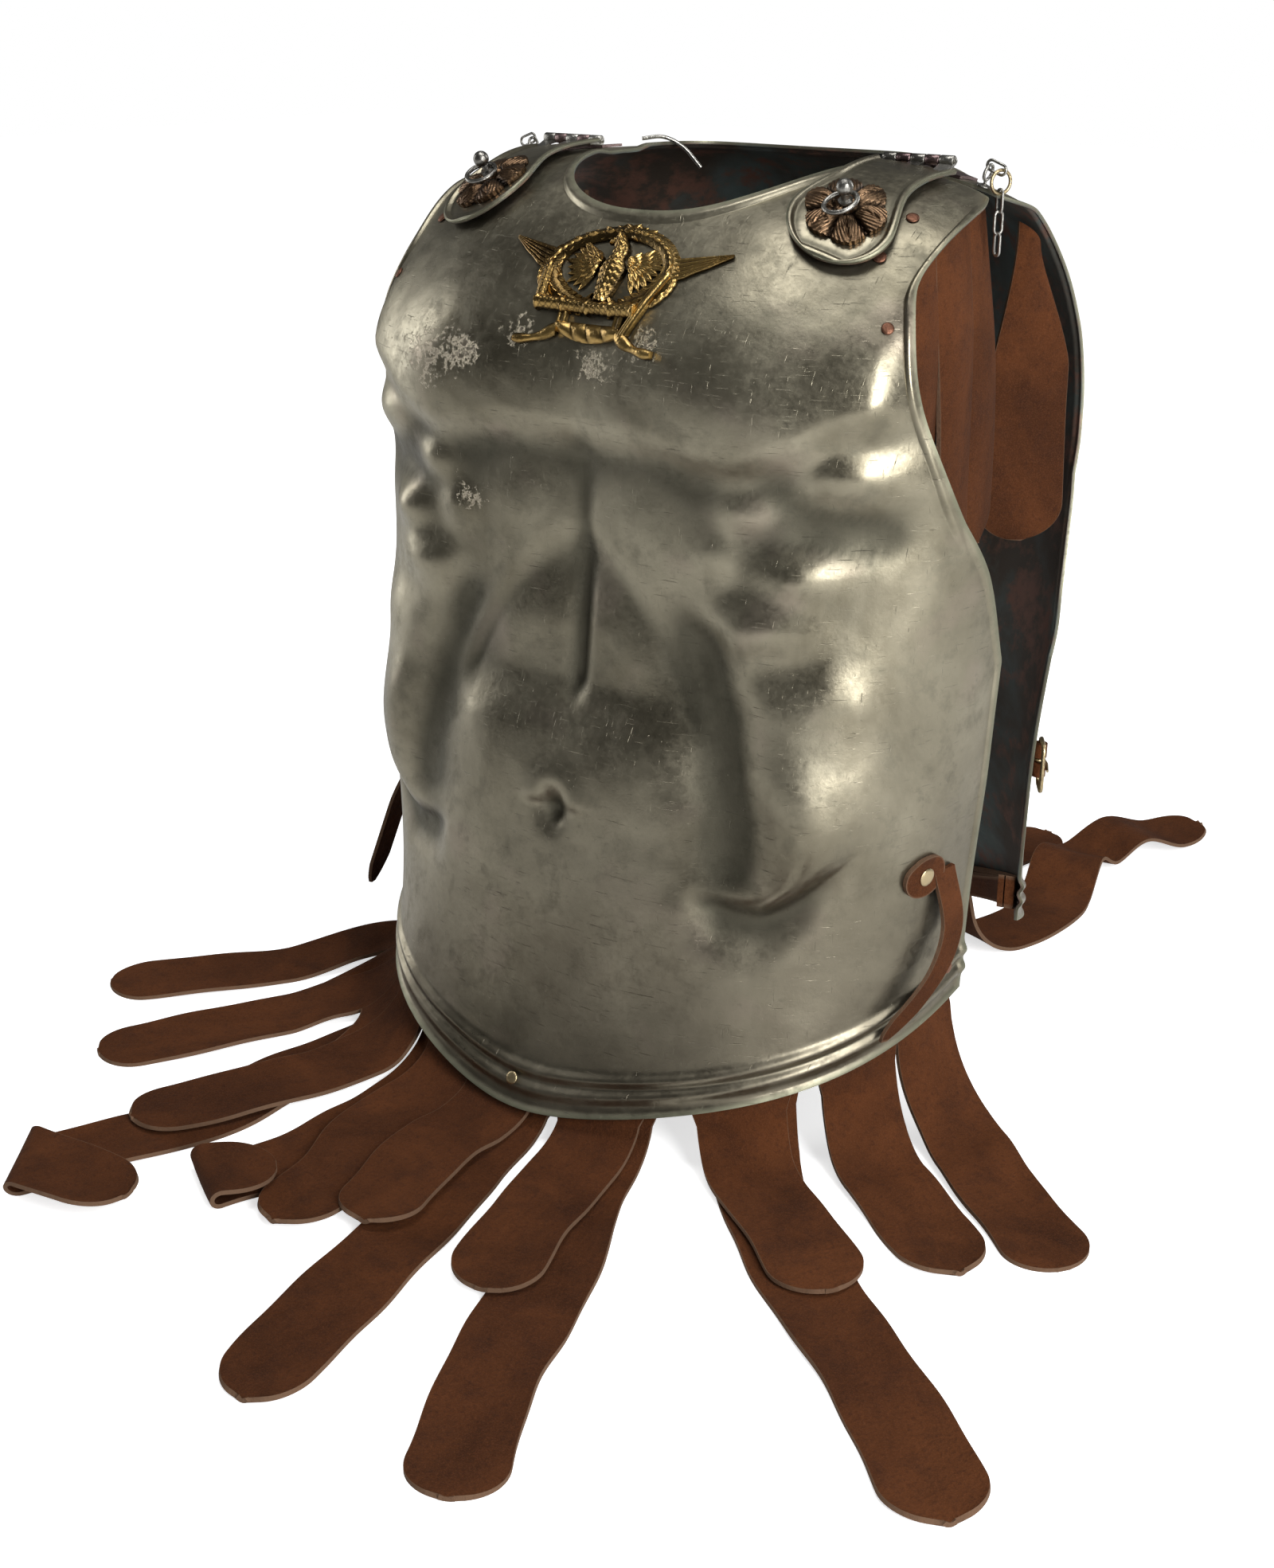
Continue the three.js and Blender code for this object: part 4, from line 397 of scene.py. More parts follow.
def bands(u, v, from_top):
    """Rise of the rolled borders and of the beads at u, v, a distance from the neckline."""
    from_side, from_rim = (1 - np.abs(u)) * PLATE_GIRTH, v * PLATE_LENGTH
    neck = (1 - smooth(from_top, NECK_BORDER * 0.55, NECK_BORDER)) * (1 - smooth(np.abs(u), 0.8, 0.92))
    arm = (1 - smooth(from_side, ROLL * 0.6, ROLL)) * within(v, 0.5, 0.56, 0.78, 0.83)
    edge = (1 - smooth(from_side, ROLL * 0.2, ROLL * 0.6)) * (1 - smooth(v, 0.5, 0.56))
    beads = BEAD_RISE * (bump(from_rim - LOW_BEAD, BEAD_HALF) + bump(from_rim - HIGH_BEAD, BEAD_HALF))
    rim = 1 - smooth(from_rim, 0, ROLL * 0.5)
    return np.maximum.reduce([NECK_ROLL * neck, ARM_ROLL * arm, RIM_ROLL * edge, RIM_ROLL * rim]) + beads


def relief(half, p):
    """Height of the beaten form over each point."""
    return (front_relief if half is FRONT else back_relief)(p[..., 0], p[..., 2])


def outward(half, at, turn, level, e):
    """Outward direction of a surface given as a function of the half, turn and level."""
    a = at(half, turn + e, level) - at(half, turn - e, level)
    b = at(half, turn, np.minimum(level + e, 2)) - at(half, turn, level - e)
    return unit(np.cross(a, b) * -half.sign)


def raised(half, turn, level):
    p = trunk(half, turn, level)
    return p + outward(half, trunk, turn, level, 1e-4) * relief(half, p)[..., None]


def skin(half, place, height):
    """Point at a height over the middle of the plate's sheet, relief included."""
    turn, level = floats(*place)
    n = outward(half, raised, turn, level, 2e-3)
    return raised(half, turn, level) + n * np.asarray(height, float)[..., None]


# Edges of the two plates: rim, side, armhole, shoulder end and neckline, joined by a smooth map over each
# plate. The arm lines are pairs of depth and height.
NECK_HALF, NECK_CENTRE, DIP = 87, 6, 0.14
EDGES = {
    -1: dict(side_y=-22, base=80, low=15, arm_z=291, corner=0.38, end=0.84, neck_y=-90, square=2.6,
             arm=[(-22, 291), (-46, 345), (-80, 400), (-92, 450), (-81, 494), (-55, 519), (-25, 532),
                  (0, 538)]),
    1: dict(side_y=58, base=92, low=24, arm_z=272, corner=0.36, end=0.84, neck_y=88, square=4,
            arm=[(60, 272), (88, 300), (102, 345), (108, 388), (108, 425), (102, 462), (84, 500), (56, 524),
                 (16, 538)]),
}
STEPS = np.linspace(0, 1, 2401)


class PlateMap:
    """Turn and level of the plate's point at u, from -1 to 1 across it, and v, from 0 at rim to 1 at neck."""

    def __init__(self, half):
        self.half, self.e = half, EDGES[half.sign]
        arm = self.e["arm"]
        steps, count = np.linspace(0, len(arm) - 1, 61), range(len(arm))
        line = np.stack([along([(i, p[c]) for i, p in zip(count, arm)], steps) for c in (0, 1)], -1)
        run = run_of(line)
        self.arm = lambda s: np.stack([np.interp(np.clip(s, 0, 1) * run[-1], run, c) for c in line.T], -1)
        self.inner = [np.stack(place_above(half, NECK_CENTRE + s * NECK_HALF, CREST_LEAN)) for s in (-1, 1)]
        self.outer = place_at(half, *line[-1])
        self.corners = [np.stack(self.side(np.array(v), s)) for v in (0.0, 1.0) for s in (-1, 1)]
        self.table = [self.side(STEPS, s) for s in (-1, 1)]
        self.base_turn = place_at(half, self.e["side_y"], self.e["base"])[0]

    def side(self, v, sign):
        e, half = self.e, self.half
        z = np.clip(mix(e["base"], e["arm_z"], v / e["corner"]), e["base"], e["arm_z"])
        low = place_at(half, e["side_y"], z)[0]
        p = self.arm((v - e["corner"]) / (e["end"] - e["corner"]))
        arm = place_at(half, p[..., 0], p[..., 1])
        t = np.clip((v - e["end"]) / (1 - e["end"]), 0, 1)
        top_turn = mix(sign * self.outer[0], self.inner[0 if sign < 0 else 1][0], t)
        top_level = mix(self.outer[1], 2, np.sqrt(t))
        first, second = v <= e["corner"], v <= e["end"]
        return (np.where(first, sign * low, np.where(second, sign * arm[0], top_turn)),
                np.where(first, z / CHEST_HEIGHT, np.where(second, arm[1], top_level)))

    def __call__(self, u, v):
        e = self.e
        u, v = np.clip(u, -1, 1), np.clip(v, 0, 1)
        w = (u + 1) / 2
        sides = [[np.interp(v, STEPS, q) for q in table] for table in self.table]
        sx, sy = rounded(u * QUARTER, e["square"])
        top = place_above(self.half, NECK_CENTRE + NECK_HALF * sx, mix(CREST_LEAN, e["neck_y"], sy))
        dip = (np.hypot(u, DIP) - DIP) / (math.hypot(1, DIP) - DIP)
        bottom = (u * self.base_turn, mix(e["low"], e["base"], dip) / CHEST_HEIGHT)
        out = []
        for k in (0, 1):
            c = [q[k] for q in self.corners]
            bent = (1 - v) * bottom[k] + v * top[k] + (1 - w) * sides[0][k] + w * sides[1][k]
            out.append(bent - mix(mix(c[0], c[1], w), mix(c[2], c[3], w), v))
        return tuple(out)


MAPS = {-1: PlateMap(FRONT), 1: PlateMap(BACK)}


def between(outer, inner):
    """A closed sheet between two grids of points: its points and its faces."""
    rows, cols = outer.shape[:2]
    a, b = np.arange(2 * rows * cols).reshape(2, rows, cols)
    faces = [(a[:-1, :-1], a[:-1, 1:], a[1:, 1:], a[1:, :-1]),
             (b[:-1, :-1], b[1:, :-1], b[1:, 1:], b[:-1, 1:]),
             (a[0, :-1], b[0, :-1], b[0, 1:], a[0, 1:]), (a[-1, :-1], a[-1, 1:], b[-1, 1:], b[-1, :-1]),
             (a[:-1, 0], a[1:, 0], b[1:, 0], b[:-1, 0]), (a[:-1, -1], b[:-1, -1], b[1:, -1], a[1:, -1])]
    points = np.concatenate([outer.reshape(-1, 3), inner.reshape(-1, 3)])
    return points, np.concatenate([np.stack(f, -1).reshape(-1, 4) for f in faces]).tolist()


SMOOTH_UNDER = math.radians(50)


def build(name, shape, paint, body, node, marks=None):
    """One piece from its points in millimetres and its faces, on the body and in the place of the node.
    marks are named values for each point, read by the materials."""
    verts, faces = shape
    mesh = bpy.data.meshes.new(name)
    mesh.from_pydata((np.asarray(verts) * MM + SHIFT).tolist(), [], faces)
    mesh.update()
    for key, values in (marks or {}).items():
        layer = mesh.attributes.new(key, "FLOAT", "POINT")
        layer.data.foreach_set("value", np.asarray(values, np.float32).ravel())
    mesh.materials.append(paint)
    obj = put(name, mesh)
    bm = bmesh.new()
    bm.from_mesh(mesh)
    bmesh.ops.recalc_face_normals(bm, faces=bm.faces)
    bm.to_mesh(mesh)
    bm.free()
    mesh.shade_smooth()
    mesh.set_sharp_from_angle(angle=SMOOTH_UNDER)
    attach(obj, body)
    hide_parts(node)
    return obj


# Metals: silvered sheet, gilt, bronze, copper, brass and steel, all with one old, grimy look. It has painted
# shade in hollows, pale or coppery wear on high places, fine scratches, dents and a broken sheen. The marks
# "hollow", "edge" and "inside" come from the forms.
def paint_of(name):
    paint = bpy.data.materials.new(name)
    return paint, Tree(paint)


def mark(t, name):
    return t.add("ShaderNodeAttribute", attribute_name=name).outputs["Fac"]


wear_group = bpy.data.node_groups.new("surface wear", "ShaderNodeTree")
for key in ("Spots", "Scratch", "Dents", "Grain"):
    wear_group.interface.new_socket(key, in_out="INPUT", socket_type="NodeSocketFloat")
for key in ("Cloud", "Spots", "Scratch", "Dents", "Height"):
    wear_group.interface.new_socket(key, in_out="OUTPUT", socket_type="NodeSocketFloat")
t = Tree(wear_group)
share, coord = t.add("NodeGroupInput").outputs, t.add("ShaderNodeTexCoord").outputs["Object"]
drawn = []
for scale, turn, low in (((60, 60, 1500), (0.5, 0.9, 0.2), 0.68), ((1300, 90, 90), (0.2, 0.4, 0.9), 0.7)):
    stretched = t.add("ShaderNodeMapping", {"Vector": coord, "Scale": scale, "Rotation": turn}).outputs[0]
    drawn.append(t.ramp(t.noise(stretched, 1, 2, 0.5), low, low + 0.1))
dents = t.noise(coord, 26, 2, 0.4)
t.add("NodeGroupOutput", {
    "Cloud": t.noise(coord, 9, 6, 0.6, 0.4),
    "Spots": t.times(t.ramp(t.noise(coord, 55, 5, 0.65), 0.52, 0.68), share["Spots"]),
    "Scratch": t.times(t.math("MAXIMUM", *drawn), share["Scratch"]),
    "Dents": dents,
    "Height": t.plus(t.times(dents, share["Dents"]), t.times(t.noise(coord, 420, 3, 0.6), share["Grain"]))})


def wear(t, spots, scratch, dents, grain):
    """Clouds, spots, scratches, dents and the height of dents and grain, with the strengths given."""
    node = t.add("ShaderNodeGroup", {"Spots": spots, "Scratch": scratch, "Dents": dents, "Grain": grain},
                 node_tree=wear_group)
    return (node.outputs[key] for key in ("Cloud", "Spots", "Scratch", "Dents", "Height"))


SILVER_DEPTH, METAL_DEPTH = 0.0022, 0.0004
silver, t = paint_of("silver_tarnished")
cloud, spots, scratch, dents, height = wear(t, 0.3, 0.4, 0.8, 0.035)
coord = t.add("ShaderNodeTexCoord").outputs["Object"]
hollow, edge, inside, rubbed = (mark(t, key) for key in ("hollow", "edge", "inside", "rubbed"))
level = t.add("ShaderNodeSeparateXYZ", {"Vector": coord}).outputs["Z"]
# Painted shade: the silver darkens towards the bottom of the plates, in blotches.
blotches = t.ramp(t.noise(coord, 6, 5, 0.6, 0.5), 0.3, 0.62, 0.35, 1.0)
low_shade = t.times(t.ramp(level, 0.02, 0.36, 0.75, 0.0), blotches)
fleck = t.ramp(t.noise(coord, 150, 6, 0.75), 0.6, 0.72)
flake = t.ramp(t.plus(t.noise(coord, 210, 9, 0.78), t.times(rubbed, 0.2)), 0.66, 0.72)
rust = t.mix(t.ramp(cloud, 0.42, 0.6), (0.045, 0.032, 0.022), (0.075, 0.1, 0.095))
rust = t.mix(t.ramp(t.noise(coord, 30, 6, 0.7), 0.5, 0.62), rust, (0.13, 0.06, 0.04))
colour = t.over(t.mix(t.ramp(cloud, 0.35, 0.66), (0.19, 0.17, 0.12), (0.385, 0.352, 0.262)),
                (t.ramp(dents, 0.6, 0.74, 0, 0.4), (0.36, 0.3, 0.24)),
                (spots, (0.11, 0.106, 0.08)),
                (scratch, (0.1, 0.095, 0.075)),
                # painted shade low on the plates
                (low_shade, (0.125, 0.108, 0.08)),
                (t.times(fleck, 0.45), (0.12, 0.112, 0.085)),
                # painted shade in the hollows of the relief
                (t.times(hollow, 0.75), (0.06, 0.057, 0.042)),
                (t.times(flake, 0.6), (0.58, 0.5, 0.39)),
                (t.times(edge, 0.6), (0.24, 0.25, 0.175)),
                (inside, rust))
rough = t.plus(t.ramp(cloud, 0.3, 0.7, 0.3, 0.42), t.times(spots, 0.4))
rough = t.plus(rough, t.times(t.plus(hollow, edge), 0.15))
rough = t.plus(rough, t.times(t.minus(t.noise(coord, 260, 5, 0.7), 0.5), 0.35))
rough = t.math("MAXIMUM", rough, t.times(inside, 0.6))
height = t.minus(t.minus(height, t.times(scratch, 0.125)), t.times(flake, 0.05))
t.surface(colour, rough, height, SILVER_DEPTH, Metallic=t.minus(0.97, t.times(inside, 0.6)))


def plain_metal(name, slot, dark, light, shade_and_dirt, low, high):
    """A metal from dark to light with dirt spots and painted shade in its hollows, and a roughness from low to
    high.
    """
    paint, t = paint_of(name)
    cloud, spots, _, _, height = wear(t, 0.6, 0, 1, 1)
    colour = t.over(t.mix(t.ramp(cloud, 0.35, 0.65), dark, light),
                    # dirt spots, then painted shade where the hollow mark is high
                    (spots, shade_and_dirt), (t.times(mark(t, "hollow"), 0.95), shade_and_dirt))
    t.surface(colour, t.ramp(cloud, 0.3, 0.7, low, high), height, METAL_DEPTH, Metallic=1.0)
    return paint


gilt, bronze, copper, brass, steel, leaf = (plain_metal(*row) for row in (
    ("gilt_antique", "gilt", (0.26, 0.155, 0.05), (0.62, 0.42, 0.15), (0.022, 0.015, 0.008), 0.2, 0.36),
    ("bronze_brown", "gilt", (0.15, 0.088, 0.05), (0.34, 0.22, 0.125), (0.018, 0.012, 0.008), 0.28, 0.45),
    ("copper_brown", "copper", (0.15, 0.07, 0.045), (0.27, 0.135, 0.085), (0.03, 0.016, 0.01), 0.42, 0.6),
    ("brass_worn", "brass", (0.38, 0.29, 0.15), (0.60, 0.50, 0.32), (0.07, 0.05, 0.03), 0.3, 0.45),
    ("steel_grey", "steel", (0.22, 0.21, 0.19), (0.50, 0.49, 0.45), (0.05, 0.045, 0.04), 0.28, 0.45),
    ("hinge_pinkish", "steel", (0.16, 0.11, 0.11), (0.30, 0.22, 0.21), (0.04, 0.03, 0.03), 0.3, 0.5)))


def blurred(values, reach, axes=(0, 1)):
    """The values of a grid smoothed over a few cells each way."""
    weights = np.exp(-np.linspace(-2, 2, 2 * reach + 1) ** 2)
    for axis in axes:
        pad = [(reach, reach) if a == axis else (0, 0) for a in (0, 1)]
        wide = np.pad(values, pad, mode="edge")
        values = np.apply_along_axis(lambda r: np.convolve(r, weights / weights.sum(), "valid"), axis, wide)
    return values


# Breastplate and backplate: one embossed sheet each, about 2 mm thick, silvered outside and dark inside.
# The rim and the beads run along the lower edge, and the neck and arm borders are rolled outwards.
# Where the silver is rubbed, each place is its x, its height and its half width.
RUBBED = [(-104, 443, 26), (-74, 449, 12), (-80, 366, 14), (46, 463, 14), (14, 450, 15), (-38, 461, 12)]
EVEN_FROM, FINE_LOW, FINE_HIGH, PLATE_CELLS = 0.7, 40, 30, (260, 300)


def shaded(hollow, edge, **more):
    """Marks of a sheet: painted shade in its hollows outside, its edge on both faces and the dark of its inner
    face.
    """
    plain = hollow * 0
    marks = {"hollow": (hollow, plain), "edge": (edge, edge), "inside": (plain, plain + 1), **more}
    return {key: np.stack(values) for key, values in marks.items()}


def plate(half, cols, rows):
    us = np.sin(np.linspace(-1, 1, cols) * QUARTER * 0.86) / math.sin(QUARTER * 0.86)
    low = np.linspace(0, FINE_LOW / PLATE_LENGTH, rows // 5)
    high = np.linspace(1 - FINE_HIGH / PLATE_LENGTH, 1, rows // 9)
    vs = np.concatenate([low[:-1], np.linspace(low[-1], high[0], rows - len(low) - len(high) + 2), high[1:]])
    u, v = np.meshgrid(us, vs)
    place, t = MAPS[half.sign], np.clip((v - EVEN_FROM) / (1 - EVEN_FROM), 0, 1)
    even = zip(place(u, np.minimum(v, EVEN_FROM)), place(u, v * 0 + 1), place(u, v))
    base = trunk(half, *(mix(mix(a, b, t), c, smooth(np.abs(u), 0.6, 0.9)) for a, b, c in even))
    eased = np.stack([blurred(base[..., k], 16, (0,)) for k in range(3)], -1)
    base = mix(base, eased, bump(base[..., 2:] - CHEST_HEIGHT, 34))
    facing = lambda p: unit(np.cross(np.gradient(p, axis=1), np.gradient(p, axis=0)) * -half.sign)
    from_top = run_of(base[::-1].swapaxes(0, 1)).T[::-1]
    height = relief(half, base) + bands(u, v, from_top)
    middle = base + facing(base) * height[..., None]
    half_sheet = facing(middle) * SHEET / 2
    from_edge = np.minimum.reduce([from_top, v * PLATE_LENGTH, (1 - np.abs(u)) * PLATE_GIRTH])
    # How far each point lies below the blurred relief: the share of painted shade there.
    hollow = np.clip((blurred(height, 24) - height) / 4, 0, 1) ** 1.2
    x, z = base[..., 0], base[..., 2]
    rubbed = sum(bump(x - a, r) * bump(z - c, r * 0.7) for a, c, r in RUBBED) * (half is FRONT)
    marks = shaded(hollow, 1 - smooth(from_edge, 0.5, 5), rubbed=(rubbed, rubbed * 0))
    shape = between(middle + half_sheet, middle - half_sheet)
    build(half.plate + "_sheet", shape, silver, half.body, half.plate, marks)


plate(FRONT, *PLATE_CELLS)
plate(BACK, *PLATE_CELLS)


# Shoulder plates: tongue-shaped plates with a raised border, hinged at the crest of the shoulders and lying
# forward over the chest. Their knuckles interleave with those of a leaf fixed to the backplate, on one pin.
def merged(parts):
    verts, faces, start = [], [], 0
    for v, f in parts:
        v = np.asarray(v, float).reshape(-1, 3)
        verts.append(v)
        faces += [tuple(i + start for i in face) for face in f]
        start += len(v)
    return np.concatenate(verts), faces


def frame_of(axis):
    axis = unit(np.asarray(axis, float))
    side = unit(np.cross(axis, (1, 0, 0) if abs(axis[2]) > 0.9 else (0, 0, 1)))
    return axis, side, np.cross(axis, side)


def circle(centre, a, b, radius, count=48):
    t = np.arange(count) / count * 2 * math.pi
    return np.asarray(centre) + radius * (np.cos(t)[:, None] * a + np.sin(t)[:, None] * b)


def tube(rings, closed=False):
    """Points and faces of a row of rings, joined into a loop or with a cap on each end."""
    rings = np.asarray(rings)
    ids = np.arange(rings.size // 3).reshape(rings.shape[:2])
    ids = np.concatenate([ids, ids[:1]]) if closed else ids
    turned_on = np.roll(ids, -1, 1)
    faces = np.stack([ids[:-1], turned_on[:-1], turned_on[1:], ids[1:]], -1).reshape(-1, 4).tolist()
    return rings.reshape(-1, 3), faces + ([] if closed else [ids[0, ::-1].tolist(), ids[-1].tolist()])


def turned(foot, axis, profile, sides=32):
    """Round piece with a radius at each distance along its axis."""
    axis, side, up = frame_of(axis)
    return tube([circle(np.asarray(foot) + axis * d, side, up, r, sides) for d, r in profile])


def wire(line, radius, sides=12, closed=False):
    """Round wire bent along a line."""
    line = np.asarray(line, float)
    tangents = unit(np.roll(line, -1, 0) - np.roll(line, 1, 0) if closed else np.gradient(line, axis=0))
    side, rings = frame_of(tangents[0])[1], []
    for point, tangent, r in zip(line, tangents, np.broadcast_to(radius, len(line))):
        side = unit(side - tangent * np.dot(side, tangent))
        rings.append(circle(point, side, np.cross(tangent, side), r, sides))
    return tube(rings, closed)


def on_chest(x, z, h):
    return skin(FRONT, chest_place(x, z), h)


def on_side(half, sign, y, z, h):
    turn, level = place_at(half, y, z)
    return skin(half, (sign * turn, level), h)


def tip(left, r, least):
    """Half width r, rounded off to the least over the last r of the length left."""
    return np.where(left >= r, r, np.sqrt(np.maximum(r * r - (r - left) ** 2, least ** 2)))


SIDES = (("right", -1), ("left", 1))
SEAT = SHEET / 2 + GAP
TONGUE_X, TONGUE_SHIFT, TONGUE_LENGTH, TONGUE_START = 121, 4, 114, 6
TONGUE_SHEET, TONGUE_LIFT, TONGUE_ROLL, TONGUE_BORDER = 1.8, 2.7, 2.2, 5
TONGUE_HALVES, TONGUE_END, TONGUE_LEAST = [(0, 26), (0.42, 23), (0.76, 30), (1, 30)], 30, 3
HINGE_Y, HINGE_Z, HINGE_FROM, KNUCKLE, KNUCKLES, KNUCKLE_R, PIN_R = 8, 556.2, 100, 9, 5, 3, 1.3
HINGE_MID, HINGE_END = HINGE_FROM + KNUCKLES * KNUCKLE / 2, HINGE_FROM + KNUCKLES * KNUCKLE
LEAF_SHEET, LEAF_DEPTH, LEAF_START, KNUCKLE_GAP, BORE, CHAMFER = 1.6, 20, 4.5, 0.5, 0.35, 0.5
TONGUE_BASE = SHEET / 2 + TONGUE_LIFT


def tongue_half(d):
    rounded_off = tip(TONGUE_LENGTH - d, TONGUE_END, TONGUE_LEAST)
    return np.minimum(along(TONGUE_HALVES, d / TONGUE_LENGTH), rounded_off)


def tongue_centre(sign, d):
    return mix(sign * HINGE_MID, sign * TONGUE_X + TONGUE_SHIFT, smooth(d, 0, TONGUE_LENGTH))


def on_tongue(sign, across, d, h):
    return skin(FRONT, shoulder_place(FRONT, tongue_centre(sign, d) + across, d), h)


def knuckle(sign, index, half, base, thick):
    """A rolled knuckle of the hinge, and the neck of sheet that joins it to its plate or leaf."""
    x0, length, r = HINGE_FROM + index * KNUCKLE + KNUCKLE_GAP / 2, KNUCKLE - KNUCKLE_GAP, KNUCKLE_R
    hole, end = PIN_R + BORE, r * 0.86
    rod = turned((sign * x0, HINGE_Y, HINGE_Z), (sign, 0, 0),
                 [(0, hole), (0, end), (CHAMFER, r), (length - CHAMFER, r), (length, end), (length, hole)],
                 28)
    rows = []
    for x in sign * np.linspace(x0, x0 + length, 5):
        place = shoulder_place(half, x, TONGUE_START + 5)
        low, high = (skin(half, place, base + s * thick) for s in (0.2, 0.8))
        at = lambda z: np.array((x, HINGE_Y, HINGE_Z + z))
        rows.append([low, mix(low, at(LEAF_SHEET / 2 - r), 0.6), at(0.2 - r), at(-0.4),
                     mix(high, at(-0.6), 0.6), high])
    return [rod, tube(rows)]


for side, sign in SIDES:
    body, node = "shoulder_" + side, "shoulder_plate_" + side
    s, t = np.meshgrid(np.sin(np.linspace(-1, 1, 61) * QUARTER), np.sin(np.linspace(0, 1, 90) * QUARTER))
    d = mix(TONGUE_START, TONGUE_LENGTH, t)
    half = tongue_half(d)
    inset = np.minimum((1 - np.abs(s)) * half, (TONGUE_LENGTH - d) * 0.9)
    roll = TONGUE_ROLL * (1 - smooth(inset, TONGUE_BORDER * 0.55, TONGUE_BORDER))
    base = TONGUE_BASE + roll - 0.7 * (1 - smooth(inset, 0, 1.6))
    outer, inner = (on_tongue(sign, sign * s * half, d, base + k) for k in (TONGUE_SHEET, 0))
    # Painted shade in a line just inside the raised border, and the edge mark.
    marks = shaded(bump(inset - TONGUE_BORDER * 1.25, 1.7) * 0.9, 1 - smooth(inset, 0.2, 2.4))
    build("shoulder_plate_sheet_" + side, between(outer, inner), silver, body, node, marks)
    parts = sum((knuckle(sign, k, FRONT, TONGUE_BASE, TONGUE_SHEET) for k in (0, 2, 4)), [])
    build("shoulder_knuckles_" + side, merged(parts), steel, body, node)
    s, t = np.meshgrid(np.linspace(0, 1, 40), np.linspace(0, 1, 20))
    x = sign * mix(HINGE_FROM + LEAF_START, HINGE_END - KNUCKLE_GAP / 2, s)
    place = shoulder_place(BACK, x, mix(TONGUE_START, TONGUE_START + LEAF_DEPTH, t))
    grid = between(skin(BACK, place, SEAT + LEAF_SHEET), skin(BACK, place, SEAT))
    parts = sum((knuckle(sign, k, BACK, SEAT, LEAF_SHEET) for k in (1, 3)), [grid])
    build("back_leaf_" + side, merged(parts), leaf, "back", "hinge_leaf_" + side)
    length = HINGE_END - HINGE_FROM + 2
    pin = turned((sign * (HINGE_FROM - 1), HINGE_Y, HINGE_Z), (sign, 0, 0),
                 [(0, 0.8), (0.3, PIN_R), (length - 0.3, PIN_R), (length, 0.8)])
    build("hinge_wire_" + side, pin, steel, "back", "hinge_pin_" + side)


# Rosettes: cast gilt leaves round a boss, held on the shoulder plate by the neck of a ball stud that carries
# a loose pull ring.
ROSETTE_AT, ROSETTE_R, ROSETTE_RIM, ROSETTE_RISE, PETALS, PETAL_CUT = 80, 23, 1.6, 3.2, 6, 0.13
STEM_R, STEM, BALL, RING_R, RING_WIRE = 2.2, 9, 4.6, 9, 1.3
ROSETTE_BASE = TONGUE_BASE + TONGUE_SHEET + GAP


def out_of(at):
    """Outward direction from a function that gives a point for each height."""
    return unit(at(1) - at(0))


for side, sign in SIDES:
    body = "shoulder_" + side
    r, a = np.meshgrid(np.linspace(0.0, 1, 46), np.linspace(0, 2 * math.pi, 289))
    petal = np.abs(np.cos(a * PETALS / 2))
    out = ROSETTE_R * (1 - PETAL_CUT * (1 - petal) + 0.012 * np.cos(a * PETALS * 7) * smooth(r, 0.7, 1))
    crown = (0.35 + 0.65 * petal) * np.sin(np.minimum(1, 1.15 - r) * math.pi * 0.8) + 0.5 * bump(r, 0.22)
    fold = (a * PETALS / (2 * math.pi)) % 1 - 0.5
    from_cut = np.abs(fold) - 0.5
    veins = np.abs(((np.abs(from_cut) * 9 + r * 5) % 1) - 0.5) * 2
    rise = ROSETTE_RIM + ROSETTE_RISE * crown - 0.9 * bump(from_cut, 0.035) * within(r, 0.25, 0.5, 0.85, 1)
    rise = rise - 1.5 * bump(fold, 0.07) * smooth(r, 0.3, 0.55) + 0.5 * (1 - veins) * smooth(r, 0.35, 0.55)
    rise = np.maximum(rise - 0.9 * bump(r - 0.3, 0.05), 0.6)
    # Painted shade in the folds between the leaves, round the boss and along the veins.
    deep = bump(fold, 0.09) * smooth(r, 0.3, 0.5) + bump(r - 0.31, 0.06) + 0.5 * veins * smooth(r, 0.35, 0.5)
    across, d = out * r * np.cos(a), ROSETTE_AT + out * r * np.sin(a)
    leaves = between(*(on_tongue(sign, across, d, ROSETTE_BASE + h) for h in (rise, rise * 0)))
    build("rosette_leaves_" + side, leaves, bronze, body, "rosette_" + side,
          {"hollow": np.stack([np.clip(deep, 0, 1)] * 2)})
    place = shoulder_place(FRONT, tongue_centre(sign, ROSETTE_AT), ROSETTE_AT)
    foot = skin(FRONT, place, ROSETTE_BASE + ROSETTE_RIM + ROSETTE_RISE * 1.09 + GAP)
    out = out_of(lambda h: skin(FRONT, place, h))
    ball = [(STEM + BALL * math.sin(k), BALL * math.cos(k)) for k in np.linspace(-1.05, 1.52, 16)]
    neck = [(0, STEM_R * 1.8), (1.0, STEM_R * 1.8), (1.5, STEM_R * 1.3), (1.8, STEM_R)]
    build("ball_stud_" + side, turned(foot, out, neck + ball, 40), steel, body, "rosette_stud_" + side)
    down = unit(np.cross((1, 0, 0), out))
    centre = foot + out * STEM * 0.35 + down * (RING_R - STEM_R - RING_WIRE - GAP)
    ring = wire(circle(centre, np.array((1, 0, 0)), down, RING_R, 64), RING_WIRE, 16, True)
    build("pull_ring_" + side, ring, steel, "pull_ring_" + side, "rosette_ring_" + side)


# Emblem: cast and gilded in one piece, pinned to the upper chest. A laurel wreath round a bird with spread
# wings, a side wing at each shoulder of the wreath, a banded bar below and a tied ribbon with curled ends.
EMBLEM_X, EMBLEM_Z, WREATH_W, WREATH_H = 7.5, 497, 41, 20
parts, depths = [], []


